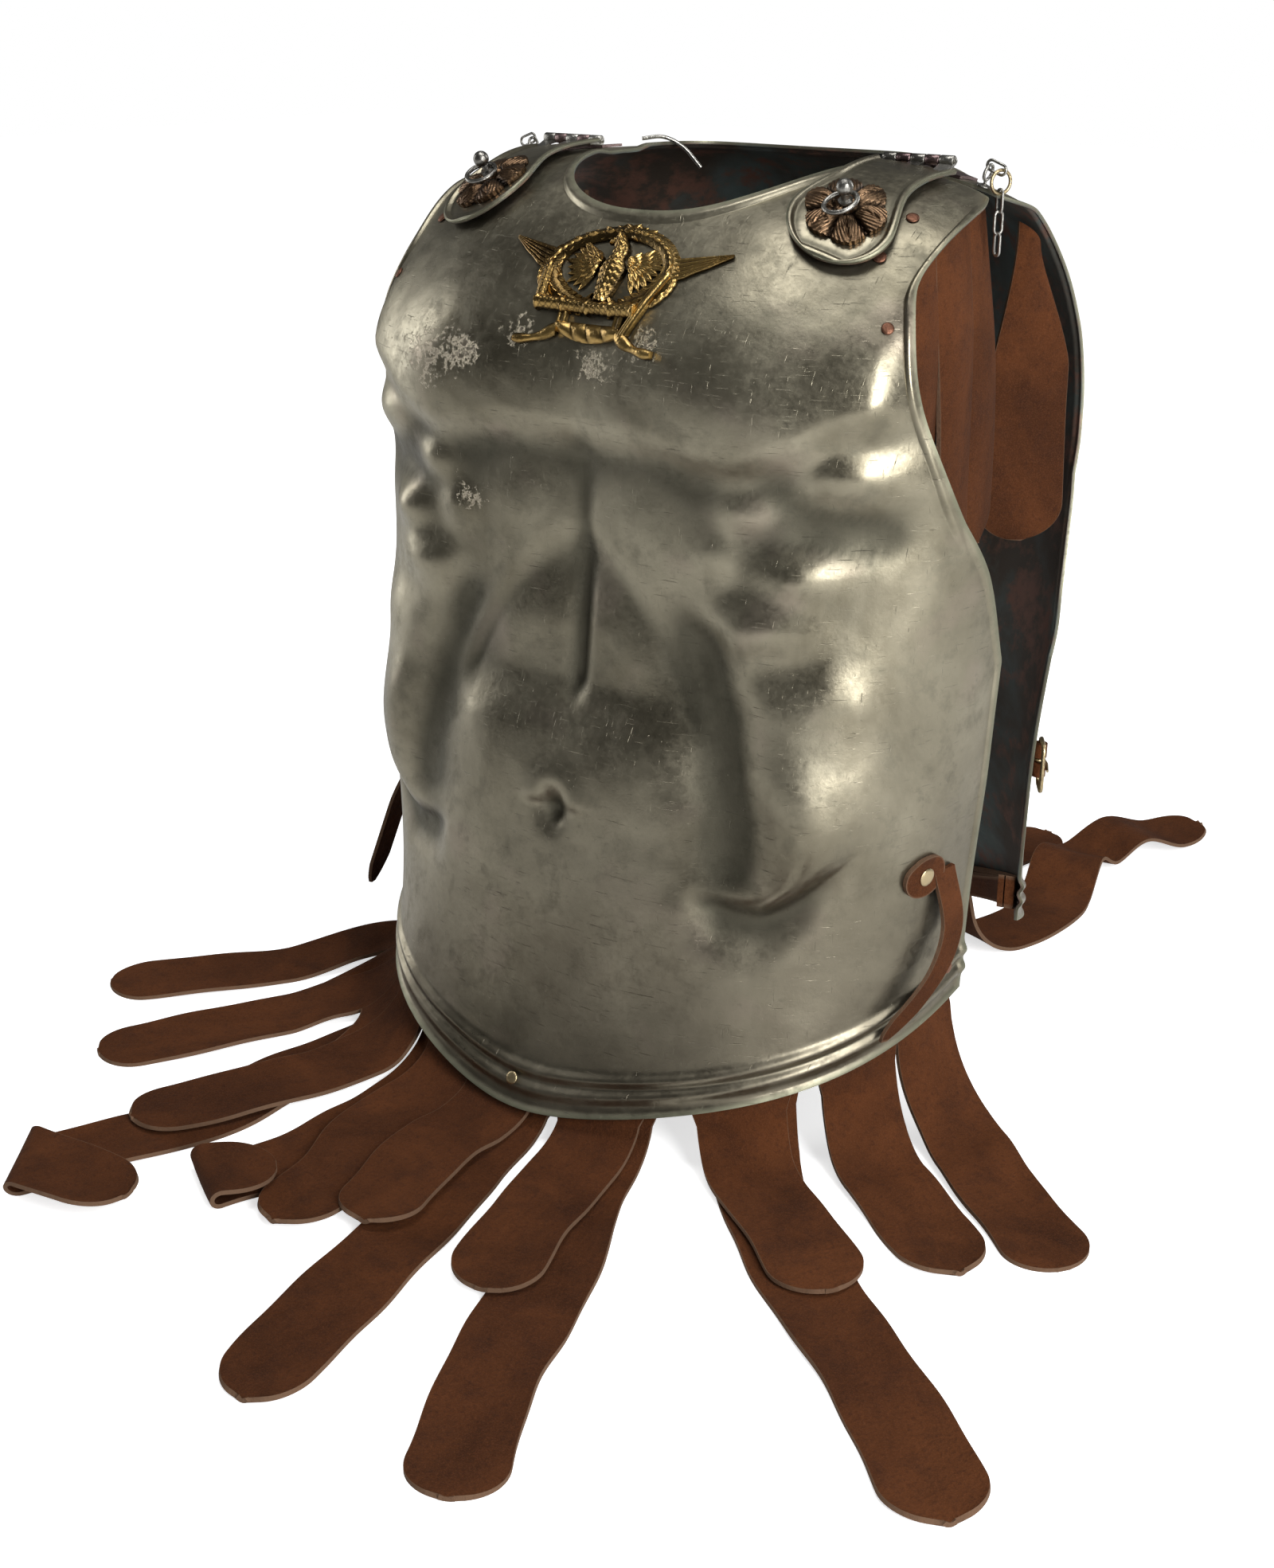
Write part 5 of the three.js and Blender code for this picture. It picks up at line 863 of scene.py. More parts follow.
def cast(at, rise, cols, rows, back, deep):
    """A raised part of the emblem over -1..1 each way, with how deep in shadow each point lies."""
    s, t = np.meshgrid(np.linspace(-1, 1, cols), np.linspace(-1, 1, rows))
    x, z = at(s, t)
    h = rise(s, t) + 0 * s
    place = chest_place(EMBLEM_X + x, EMBLEM_Z + z)
    parts.append(between(skin(FRONT, place, SEAT + h), skin(FRONT, place, SEAT + back + 0 * h)))
    low = np.clip(deep(s, t) + 0 * s, 0, 1)
    depths.extend([low.ravel(), low.ravel() * 0 + 1])


def leaf_at(x0, z0, turn, length, width, rise, back):
    c, n = math.cos(turn), math.sin(turn)

    def at(s, t):
        wide = width * (1 - np.abs(s) ** 1.7) ** 0.8 + 0.05
        return x0 + length * s * c - wide * t * n, z0 + 0.86 * (length * s * n + wide * t * c)

    cast(at, lambda s, t: rise * (1 - 0.55 * t * t) * (1 - 0.4 * s * s) - 0.45 * bump(t, 0.16) + 0.3, 9, 7,
         back,
         lambda s, t: smooth(np.abs(t), 0.55, 1) * 0.9 + bump(t, 0.14) * 0.4)


for side in (-1, 1):
    a0, a1 = -0.47 * math.pi, 0.52 * math.pi
    cast(lambda s, t: (side * np.cos(mix(a0, a1, (t + 1) / 2)) * (WREATH_W - 1 + s * 5.4),
                       np.sin(mix(a0, a1, (t + 1) / 2)) * (WREATH_H - 0.5 + s * 3.2)),
         lambda s, t: 2.6 * (1 - 0.6 * s * s), 7, 60, 0, lambda s, t: 0.75 + 0 * s)
    for k in range(22):
        w = (k + 0.5) / 22
        a = mix(a0, a1, w)
        tangent = math.atan2(math.cos(a) * WREATH_H, -math.sin(a) * WREATH_W * side)
        for off, lean, lift in ((3.9, -0.55, 2.7), (-4.3, 0.55, 2.7), (-0.3, 0.0, 4.4)):
            r = 1 + off / 34
            wave = 0.9 + 0.12 * math.sin(k * 2.7 + off)
            leaf_at(side * math.cos(a + 0.03 * off) * WREATH_W * r, math.sin(a) * WREATH_H * r,
                    tangent - side * lean, 3.9 * wave, 1.6, lift * wave - 0.6, 0.2)
    def wing(s, t):
        w = (s + 1) / 2
        high = WREATH_H * mix(0.4, 0.62, w)
        low = WREATH_H * mix(-0.3, 0.54, w ** 1.2) + 0.9 * np.abs(np.sin(w * 9)) * (1 - w) * (t < 0)
        return side * mix(WREATH_W - 3, WREATH_W + 32, w), mix(low, high, (t + 1) / 2)

    ribs = lambda s, t: np.abs(np.sin((t + 1) / 2 * math.pi * 5))
    cast(wing, lambda s, t: 1.2 + 1.1 * ribs(s, t) ** 0.6 * (1 - 0.4 * (s + 1) / 2), 40, 41, 0,
         lambda s, t: 1 - ribs(s, t) ** 0.5 + 0 * s)
    for reach, half_length, half_width, lift, count, first, last in (
            (15.5, 10.0, 2.3, 1.6, 9, 0.75, -1.25), (10.5, 6.4, 2.1, 2.7, 8, 0.85, -1.2),
            (6.2, 4.0, 1.9, 3.8, 7, 1.1, -1.1), (3.0, 2.4, 1.6, 4.8, 5, 1.3, -0.9)):
        for k in range(count):
            a = mix(first, last, (k + 0.5) / count)
            leaf_at(side * (9 + reach * math.cos(a)) + 2, 3.5 + reach * 0.62 * math.sin(a),
                    a if side > 0 else math.pi - a, half_length * (0.85 + 0.15 * math.cos(k * 2.1)),
                    half_width, lift, 0.4)


def body_half(w):
    return 8.6 * along([(0, 0.5), (0.2, 0.75), (0.5, 1), (0.72, 0.6), (0.88, 0.62), (1, 0.25)], w)


def trunk_of_bird(s, t):
    w = (t + 1) / 2
    return s * body_half(w) + 2 - 3 * bump(w - 0.97, 0.1), mix(-WREATH_H * 0.82, WREATH_H * 0.84, w)


scales = lambda s, t: np.abs(np.sin((t + 1) * 17 + 2.6 * np.abs(((s * 2.5) % 1) - 0.5)))
cast(trunk_of_bird,
     lambda s, t: 1.8 + 4.4 * (1 - 0.85 * s * s) * (0.9 + 0.12 * np.cos(t * 7)) + 0.7 * scales(s, t),
     34, 90, 0,
     lambda s, t: (1 - scales(s, t)) * 0.7 + smooth(np.abs(s), 0.75, 1))
leaf_at(-4.6, WREATH_H * 0.68, 0.45, 3.4, 1.3, 5.6, 2.0)
for x in (-8, 8):
    leaf_at(x, -WREATH_H * 0.74, -0.9 * np.sign(x), 4.5, 1.3, 2.6, 0.4)
BAR_Z, BAR_R = -19.5, 3.4


def bar_band(s):
    return np.maximum.reduce([bump(np.abs(s) - 0.97, 0.03), bump(np.abs(s) - 0.5, 0.025), bump(s, 0.025)])


def cross_cut(s, t):
    lines = (np.abs(((s * 9 + way * t) % 1) - 0.5) for way in (1, -1))
    return 1 - smooth(np.minimum(*lines) * 2, 0, 0.3)


cast(lambda s, t: (s * 35 - 4.2, BAR_Z + t * BAR_R * (1 + 0.28 * bar_band(s))),
     lambda s, t: 1.6 + BAR_R * (1.5 - 1.1 * t * t) + 0.5 * bar_band(s) - 0.4 * cross_cut(s, t), 120, 22, 0,
     lambda s, t: cross_cut(s, t) * 0.8 + smooth(np.abs(t), 0.8, 1))
KNOT_Z = BAR_Z - 12.5
pleat = lambda s: np.abs(np.sin(s * 6.3)) ** 0.7
cast(lambda s, t: (s * 23, KNOT_Z + 2.3 * s * s + t * 4.6 * (1 - 0.45 * s * s)),
     lambda s, t: 1.4 + 3.4 * (1 - 0.7 * t * t) * (0.6 + 0.4 * pleat(s + 0.12 * t)), 90, 14, 0,
     lambda s, t: 1 - pleat(s + 0.1 * t) ** 0.5)
for side in (-1, 1):
    def foot_line(s, t):
        w = (s + 1) / 2
        drop = 31.5 + 7 * np.sin(w * math.pi * 0.55)
        return side * mix(22, 48, w), -drop + t * (3.4 * (1 - 0.5 * w) + 0.5 * np.sin(w * 9))

    cast(foot_line, lambda s, t: 1.6 + 2.4 * (1 - 0.6 * t * t) + 0.5 * np.sin((s + 1) * 5), 40, 10, 0,
         lambda s, t: smooth(np.abs(t), 0.5, 1))
    low, begin = (19.5, WREATH_W * 0.92) if side < 0 else (31.5, 25.4)
    cast(lambda s, t: (side * (mix(begin, WREATH_W * 0.98, (t + 1) / 2) + s * 3),
                       mix(-low, -WREATH_H * 0.1, (t + 1) / 2)),
         lambda s, t: 1.6 + 2.6 * (1 - 0.6 * s * s) + 0.5 * np.abs(np.sin(s * 4.5)), 16, 40, 0,
         lambda s, t: 1 - np.abs(np.sin(s * 4.5)) ** 0.5)
    cast(lambda s, t: (side * (23 - 2.8) + s * 2.8, mix(KNOT_Z * 0.8 + BAR_Z * 0.2, BAR_Z, (t + 1) / 2)),
         lambda s, t: 2.9 + 0.4 * np.sin(s * 5), 12, 20, 0, lambda s, t: 0.5 + 0.5 * np.cos(s * 5))
build("emblem_casting", merged(parts), gilt, "breast", "chest_emblem", {"hollow": np.concatenate(depths)})


# Leather skirts: red-brown suede about 2.6 mm thick, with pale raw cut edges. They are two combs of straps,
# the long one inside the short one, sewn inside each plate's rim. They hang and spread over the floor.
HIDE, STRAP, BAND_TOP, BAND_LOW, BAND_SHARE, INSET, LAYER_GAP = 2.6, 52, 34, 8, 0.98, 3.6, 2
STRAP_REACH, REACH_SHARE, TIP_HALF, HANG = 16, 0.5, 4, 30
PITCH = HIDE + LAYER_GAP
FRONT_SHORT = [
    (-0.93, 0, (-236, -84), (-262, -142), (-299, -194), (-343, -240)),
    (-0.66, 0, (-205, -182), (-234, -244), (-272, -308)),
    (-0.44, 1, (-134, -246), (-160, -303), (-186, -352)),
    (-0.22, 1, (-60, -262), (-42, -320), (-36, -376)),
    (-0.06, 2, (-14, -270), (-4, -310), (8, -348)),
    (0.2, 1, (68, -250), (78, -290), (98, -352)),
    (0.48, 1, (150, -176), (188, -200), (246, -240)),
    (0.72, 0, (204, -124), (236, -144), (290, -180)),
    (0.91, 0, (222, -62), (266, -96), (332, -142)),
]
FRONT_LONG = [
    (-0.5, 0, (-150, -246), (-156, -322), (-174, -368), (-195, -416), (-236, -510)),
    (-0.28, 0, (-72, -258), (-76, -310), (-86, -342), (-95, -368), (-114, -424)),
    (-0.02, 0, (6, -262), (24, -322), (42, -420), (60, -486)),
    (0.22, 0, (80, -248), (104, -290), (146, -400), (186, -476)),
    (0.5, 0, (170, -190), (232, -240), (320, -300), (378, -350)),
]
BACK_SHORT = [
    (-0.86, 0, (-222, 120), (-280, 160), (-330, 200)),
    (-0.55, 0, (-180, 226), (-220, 276), (-256, 330)),
    (-0.2, 1, (-70, 262), (-86, 320), (-96, 380)),
    (0.1, 0, (34, 262), (44, 330), (54, 396)),
]
BACK_LONG = [
    (-0.22, 0, (-76, 262), (-100, 340), (-116, 430), (-130, 486)),
    (0.4, 0, (120, 240), (112, 292), (104, 330, 16), (104, 368, 3), (116, 404, 16), (134, 440, 3),
     (152, 470, 8)),
]
# Straps whose end is folded back: where the fold lies, the way across it, and the radius of the bend.
FOLDS = {-0.5: ((-195, -414), (-0.786, -0.618), 8.5), -0.28: ((-95, -367), (-0.488, -0.873), 7.5)}
NAP_DEPTH = 0.0008
suede, t = paint_of("suede_red_brown")
coord = t.add("ShaderNodeTexCoord").outputs["Object"]
patch, blotches = t.noise(coord, 11, 5, 0.62, 0.6), t.noise(coord, 48, 6, 0.65)
nap, pore = t.noise(coord, 1300, 3, 0.7), t.noise(coord, 380, 4, 0.65)
colour = t.over(t.mix(t.ramp(patch, 0.35, 0.65), (0.038, 0.0125, 0.0042), (0.088, 0.0285, 0.009)),
                (t.ramp(blotches, 0.5, 0.72, 0, 0.6), (0.03, 0.0115, 0.006)),
                (t.ramp(nap, 0.45, 0.75, 0, 0.4), (0.15, 0.055, 0.024)),
                (t.ramp(pore, 0.52, 0.72, 0, 0.5), (0.024, 0.009, 0.005)),
                (t.times(mark(t, "cut"), 0.8), (0.15, 0.092, 0.058)))
height = t.plus(t.times(nap, 0.35), t.plus(pore, t.times(blotches, 1.5)))
t.surface(colour, 0.95, height, NAP_DEPTH, **{"Specular IOR Level": 0.12})


def rim_point(half, share, up, depth):
    """Point inside the plate near its rim."""
    e = 1e-3
    share, up = floats(share, up)
    u, v = np.clip(share, e - 1, 1 - e), up / PLATE_LENGTH
    base = lambda a, b: trunk(half, *MAPS[half.sign](a, b))
    a = base(u + e, v) - base(u - e, v)
    b = base(u, v + e) - base(u, np.maximum(v - e, 0))
    p = base(u, v)
    return p + unit(np.cross(a, b) * -half.sign) * (relief(half, p) - SHEET / 2 - depth)[..., None]


def route(points):
    """A smooth line through the points and its running length."""
    p = np.array(points, float)
    p = np.concatenate([[2 * p[0] - p[1]], p, [2 * p[-1] - p[-2]]])
    pieces = []
    for p0, p1, p2, p3 in zip(p, p[1:], p[2:], p[3:]):
        d0, d1, d2 = (np.sum((b - a) ** 2) ** 0.25 for a, b in ((p0, p1), (p1, p2), (p2, p3)))
        t1 = ((p1 - p0) / d0 - (p2 - p0) / (d0 + d1) + (p2 - p1) / d1) * d1
        t2 = ((p2 - p1) / d1 - (p3 - p1) / (d1 + d2) + (p3 - p2) / d2) * d1
        q = np.linspace(0, 1, 80, endpoint=False)[:, None]
        square, cube = 3 * (p2 - p1) - 2 * t1 - t2, 2 * (p1 - p2) + t1 + t2
        pieces.append(p1 + t1 * q + square * q ** 2 + cube * q ** 3)
    line = np.concatenate(pieces + [p[-2:-1]])
    return line, run_of(line)


ACROSS = np.array([-1, -0.985, -0.95, -0.8, -0.6, -0.4, -0.2, 0, 0.2, 0.4, 0.6, 0.8, 0.95, 0.985, 1])


def raw_edge(wide, left):
    """1 on the raw cut edge of a strap, 0 further in."""
    return 1 - smooth(np.minimum(wide[:, None] * (1 - np.abs(ACROSS)), left[:, None]), 0.05, 0.35)


def strap_rows(half, rim, strap, layer):
    u, over, *floor_line = strap
    depth = GAP + INSET + HIDE + layer * PITCH
    across = STRAP / 2 / PLATE_GIRTH
    start, first, last = (rim_point(half, u + k * across, 0, depth) for k in (0, -1, 1))
    rim_side = unit(np.array([last[0] - first[0], last[1] - first[1], 0])) * -half.sign
    line, run = route([(start[0], start[1], 0)] + [(*q, 0)[:3] for q in floor_line])
    length, r = run[-1], STRAP / 2
    m = np.concatenate([np.linspace(0, 44, 22), np.linspace(44, length - r, int(length / 3))[1:],
                        length - r * (1 - np.sin(np.linspace(0, 1, 16)[1:] * QUARTER))])
    p = np.stack([np.interp(m, run, line[:, k]) for k in range(3)], -1)
    d = np.stack([np.interp(m, run, np.gradient(line[:, k], run)) for k in range(3)], -1)
    sides = unit(np.stack([-d[:, 1], d[:, 0], 0 * m], -1))
    before = rim_side
    for i in range(len(sides)):
        if np.dot(sides[i], before) < 0:
            sides[i] *= -1
        before = sides[i]
    f = smooth(m, 0, STRAP)[:, None]
    sides = unit(rim_side * (1 - f) + sides * f)
    left = length - m
    uneven = 1 + smooth(m, 40, 90) * (0.035 * np.sin(m / 26 + 7 * u) + 0.02 * np.sin(m / 9.5 + 4 * u))
    wide = uneven * tip(left, r, TIP_HALF)
    q = p[:, None] + sides[:, None] * (ACROSS * wide[:, None])[..., None]
    edge, step = rim[:-1, :2], np.diff(rim[:, :2], axis=0)
    rel = q[..., None, :2] - edge
    share = np.clip((rel * step).sum(-1) / (step ** 2).sum(-1), 0, 1)
    off = rel - share[..., None] * step
    dist = np.linalg.norm(off, axis=-1)
    pick = dist.argmin(-1)[..., None]
    take = lambda values: np.take_along_axis(values, pick, -1)[..., 0]
    rim_z = take(mix(rim[:-1, 2], rim[1:, 2], share))
    turn = take(step[:, 0] * off[..., 1] - step[:, 1] * off[..., 0]) * half.sign
    out = take(dist) * np.where(turn < 0, -1, 1)
    reach = STRAP_REACH + REACH_SHARE * rim_z
    low = 0 if layer else PITCH
    rest = 0 * out
    if not layer:
        rest = mix((0, PITCH, PITCH + HIDE)[over], PITCH, 1 - smooth(out, reach, 2 * reach))
    c = 1 - np.clip((out + depth) / (reach + depth), 0, 1)
    drop = low + (rim_z - low) * (1 - np.sqrt(np.maximum(0, 1 - c * c)))
    q[..., 2] = np.where(out >= reach, rest, drop) + np.maximum(p[:, 2], 0)[:, None]
    q[..., 2] += GAP if over > 1 else 0
    free = smooth(m, 50, 110)[:, None]
    q[..., 2] += free * 1.1 * ACROSS ** 2 * (1 + np.sin(m / 19 + 9 * u))[:, None]
    if layer and u in FOLDS:
        q = folded(q, *FOLDS[u])
    ups = np.linspace(HANG, 2, 10)
    top = rim_point(half, u - half.sign * ACROSS[None] * across, ups[:, None], depth)
    rows = np.concatenate([top, q])
    normal = unit(np.cross(np.gradient(rows, axis=0), np.gradient(rows, axis=1)))
    if layer and u in FOLDS:
        normal[-6:] = normal[-7]
    wide = np.concatenate([np.full(10, r), wide])
    left = np.concatenate([np.full(10, r), left])
    return rows + normal * HIDE, rows, raw_edge(wide, left)


def folded(q, at, way, radius):
    """The strap with everything past a line on the floor turned back over it, round a bend of the radius."""
    way = np.array((*way, 0.0))
    far = (q - np.array((*at, 0.0))) @ way
    back_run = far - math.pi * radius
    bend = np.clip(far / radius, 0, math.pi)
    shift = np.where(far < 0, far, np.where(back_run > 0, -back_run, radius * np.sin(bend)))
    lift = radius * (1 - np.cos(bend)) - radius * 0.5 * smooth(back_run, 0, 70)
    q = q + way * (shift - far)[..., None]
    q[..., 2] += lift
    return q


def leather(name, grids, body, node, extra=()):
    """One leather piece from its strips, each an upper face, a lower face and its raw edge."""
    parts = [between(a, b) for a, b, _ in grids] + list(extra)
    cuts = [np.concatenate([c.ravel()] * 2) for _, _, c in grids] + [np.zeros(len(v)) for v, _ in extra]
    return build(name, merged(parts), suede, body, node, {"cut": np.concatenate(cuts)})


def web(one, two, rows, sag):
    """Leather left uncut between two neighbouring straps, for the given number of rows below the band."""
    t = np.linspace(0, 1, 9)
    mid = lambda a, b: a[:rows, -1:] * (1 - t)[:, None] + b[:rows, :1] * t[:, None]
    out, inner = mid(one[0], two[0]), mid(one[1], two[1])
    pull = (4 * t * (1 - t) * sag)[:, None] * (np.arange(rows) / rows)[:, None, None] ** 3
    toward = unit(one[1][rows - 4:rows - 3, -1:] - one[1][rows - 1:rows, -1:])
    raw = np.zeros((rows, 9)) + (np.arange(rows) > rows - 2)[:, None]
    return out + toward * pull, inner + toward * pull, raw


def skirt(end, length, half, straps, webs):
    """One comb of straps: its straps, the leather between some of them, and the band sewn inside the rim."""
    layer = 1 if length == "long" else 0
    depth = GAP + INSET + HIDE + layer * PITCH
    rim = rim_point(half, np.linspace(-1, 1, 91), 0, 0)
    grids = [strap_rows(half, rim, strap, layer) for strap in straps]
    grids += [web(grids[i], grids[i + 1], rows, WEB_SAG) for i, rows in webs]
    seat = depth - PITCH + 4 * GAP if layer else 3 * GAP
    u, up = np.meshgrid(np.linspace(-BAND_SHARE, BAND_SHARE, 160), np.linspace(BAND_LOW, BAND_TOP, 8),
                        indexing="ij")
    edge = 1 - smooth(np.minimum(up - BAND_LOW, BAND_TOP - up), 0.2, 1.2)
    grids.append((rim_point(half, u, up, seat), rim_point(half, u, up, depth + 0.2), edge))
    obj = leather(f"{end}_{length}_straps", grids, half.body, f"{end}_skirt_{length}")


WEB_SAG = 6
skirt("front", "short", FRONT, FRONT_SHORT, ((0, 40), (1, 34)))
skirt("front", "long", FRONT, FRONT_LONG, ())
skirt("back", "short", BACK, BACK_SHORT, ())
skirt("back", "long", BACK, BACK_LONG, ())


# Armhole straps: one sheet of the same suede cut into three narrow straps in front, and a wide strap behind,
# sewn under the shoulder and hanging in the armhole. A strap is its depth, its lowest point, width and drift.
ARM_STRAPS, WIDE_ARM_STRAP = [(-38, 342, 38, -20), (-13, 330, 38, -5), (11, 344, 36, 8)], (70, 334, 56, 3)
ARM_LIFTS, ARM_RIPPLE, WIDE_RIPPLE, PINCH, PINCHED_TO = (0, 3.1, 0.4), 1.2, 0.8, 0.9, 0.16
ARM_X, WIDE_ARM_X, WIDE_TURN, ARM_BOW, WIDE_BOW, ARM_HOLLOW, ARM_TOP = 153, 164, 0.74, 14, 3, 3, 2
WIDE_DROP = {-1: 2.25, 1: 1.15}


def shoulder_under(x, y, sign):
    """Height of a strap's upper end, close under the shoulder."""
    front_z = trunk(FRONT, *place_above(FRONT, x, np.minimum(y, CREST_LEAN)))[..., 2]
    back_z = trunk(BACK, *place_above(BACK, x, np.maximum(y, CREST_LEAN)))[..., 2]
    under = np.where(y < CREST_LEAN, front_z, back_z)
    return under - SHEET / 2 - ARM_TOP - np.where(y > 2 * CREST_LEAN, WIDE_DROP[sign], 0)


def hanging(sign, strap, x, turn, bow_out, ripple, pinched=0.0):
    y, lowest, width, drift = strap
    dx, dy, r = math.sin(turn), math.cos(turn), width / 2
    t = 1 - (1 - np.linspace(0, 1, 70)) ** 1.3
    spread = ACROSS * mix(1.0, PINCHED_TO, pinched * (1 - smooth(t[:, None], 0, 0.5 - 0.24 * ACROSS)))
    top = shoulder_under(x + spread * r * dx, y + spread * r * dy, sign)
    left = (shoulder_under(x, y, sign) - lowest) * (1 - t)
    wide = tip(left, r, TIP_HALF)
    bow = bow_out * np.sin(t * math.pi * 0.6)
    wave = ripple * np.sin(t[:, None] * 5 + ACROSS * 1.6 + y) * smooth(t, 0.1, 0.5)[:, None]
    px = sign * (x + bow[:, None] - ARM_HOLLOW * ACROSS ** 2 + wave + spread * wide[:, None] * dx)
    py = y + drift * t[:, None] + spread * wide[:, None] * dy
    rows = np.stack([px, py, mix(top, lowest, t[:, None])], -1)
    return rows + np.array((sign * HIDE * dy, -HIDE * dx, 0)), rows, raw_edge(wide, left)


for side, sign in SIDES:
    grids = [hanging(sign, strap, ARM_X + lift, 0, ARM_BOW, ARM_RIPPLE)
             for strap, lift in zip(ARM_STRAPS, ARM_LIFTS)]
    narrow = leather("armhole_straps_" + side, grids, "breast", "arm_straps_" + side)
    grids = [hanging(sign, WIDE_ARM_STRAP, WIDE_ARM_X, WIDE_TURN, WIDE_BOW, WIDE_RIPPLE, PINCH)]
    wide = leather("armhole_wide_strap_" + side, grids, "back", "arm_strap_wide_" + side)


# Rivets: small domed heads of brown copper, or brass where they hold leather, each hammered down on its seat.
# A row is a name, the place across and up, the radius and how far the head stands off the sheet.
DOME = [(0, 1), (0.35, 1), (0.65, 0.93), (0.9, 0.72), (1.05, 0.45), (1.1, 0.15)]
RIVETS = [("arm_rivet_upper", 155, 531, 3.6, 0.1), ("arm_rivet_middle", 152, 513, 3.6, 0.5),
          ("arm_rivet_lower", 167, 479, 3.4, 0), ("low_rivet", 194, 101, 3.6, 2.6)]


def rivet(name, at, lift, radius, paint, body, node):
    build(name, turned(at(lift), out_of(at), [(d, radius * r) for d, r in DOME], 32), paint, body, node)


for name, x, z, radius, lift in RIVETS:
    for side, sign in SIDES:
        rivet(f"{name}_head_{side}", lambda h: on_chest(sign * x, z, SEAT + h), lift, radius, copper,
              "breast", f"{name}_{side}")
rivet("rim_rivet_head", lambda h: on_chest(-4, 29, SEAT + h), 2.4, 4, brass, "breast", "rim_rivet")


# Side straps: a lobed leather tab riveted to the breastplate, with a narrow strap swinging from it. The left
# one lies forward on the plate, and the right one hangs away from it.
TAB_Y, TAB_Z, TAB_R, SIDE_WIDTH, SIDE_HEAD, SIDE_STUD_R = -72, 172, 15, 18, 16, 5.5
SWINGS = {1: ([(0, 0), (0.35, 7), (0.6, -3), (1, -42)], [(0, 0), (0.35, 6), (0.6, 9), (1, 7)], 97),
          -1: ([(0, 0), (0.5, -6), (1, -22)], [(0, 0), (0.2, 14), (0.5, 32), (1, 46)], 118)}
for side, sign in SIDES:
    at = lambda y, z, h: on_side(FRONT, sign, y, z, SEAT + h)
    r, a = np.meshgrid(np.linspace(0, 1, 14), np.linspace(0, 2 * math.pi, 73))
    lobes = TAB_R * (1 - 0.1 * bump(np.sin(a - 0.3) - 1, 0.25) - 0.06 * bump(np.sin(a - 0.3) + 1, 0.3))
    y, z = TAB_Y + lobes * r * np.cos(a), TAB_Z + lobes * 0.9 * r * np.sin(a)
    pad = (at(y, z, HIDE + 0.3 * r), at(y, z, 0 * r), 1 - smooth((1 - r) * TAB_R, 0.2, 1.0))
    t = np.linspace(0, 1, 60)
    wide = SIDE_WIDTH / 2 * np.minimum(1, np.maximum(0.2, np.sqrt(np.clip((1 - t) / 0.14, 0, 1))))
    forward, off, fall = SWINGS[sign]
    y = TAB_Y + SIDE_HEAD + along(forward, t)[:, None] + ACROSS * wide[:, None]
    z, h = TAB_Z - fall * t[:, None] + 0 * y, along(off, t)[:, None] + 0 * y
    strip = (at(y, z, h + HIDE), at(y, z, h), raw_edge(wide, (1 - t) * fall))
    strap = leather(f"side_strap_{side}_hide", [pad, strip], "breast", "side_strap_" + side)
    rivet("side_strap_stud_" + side, lambda h: at(TAB_Y, TAB_Z, h), HIDE + GAP, SIDE_STUD_R, brass, "breast",
          "side_strap_rivet_" + side)
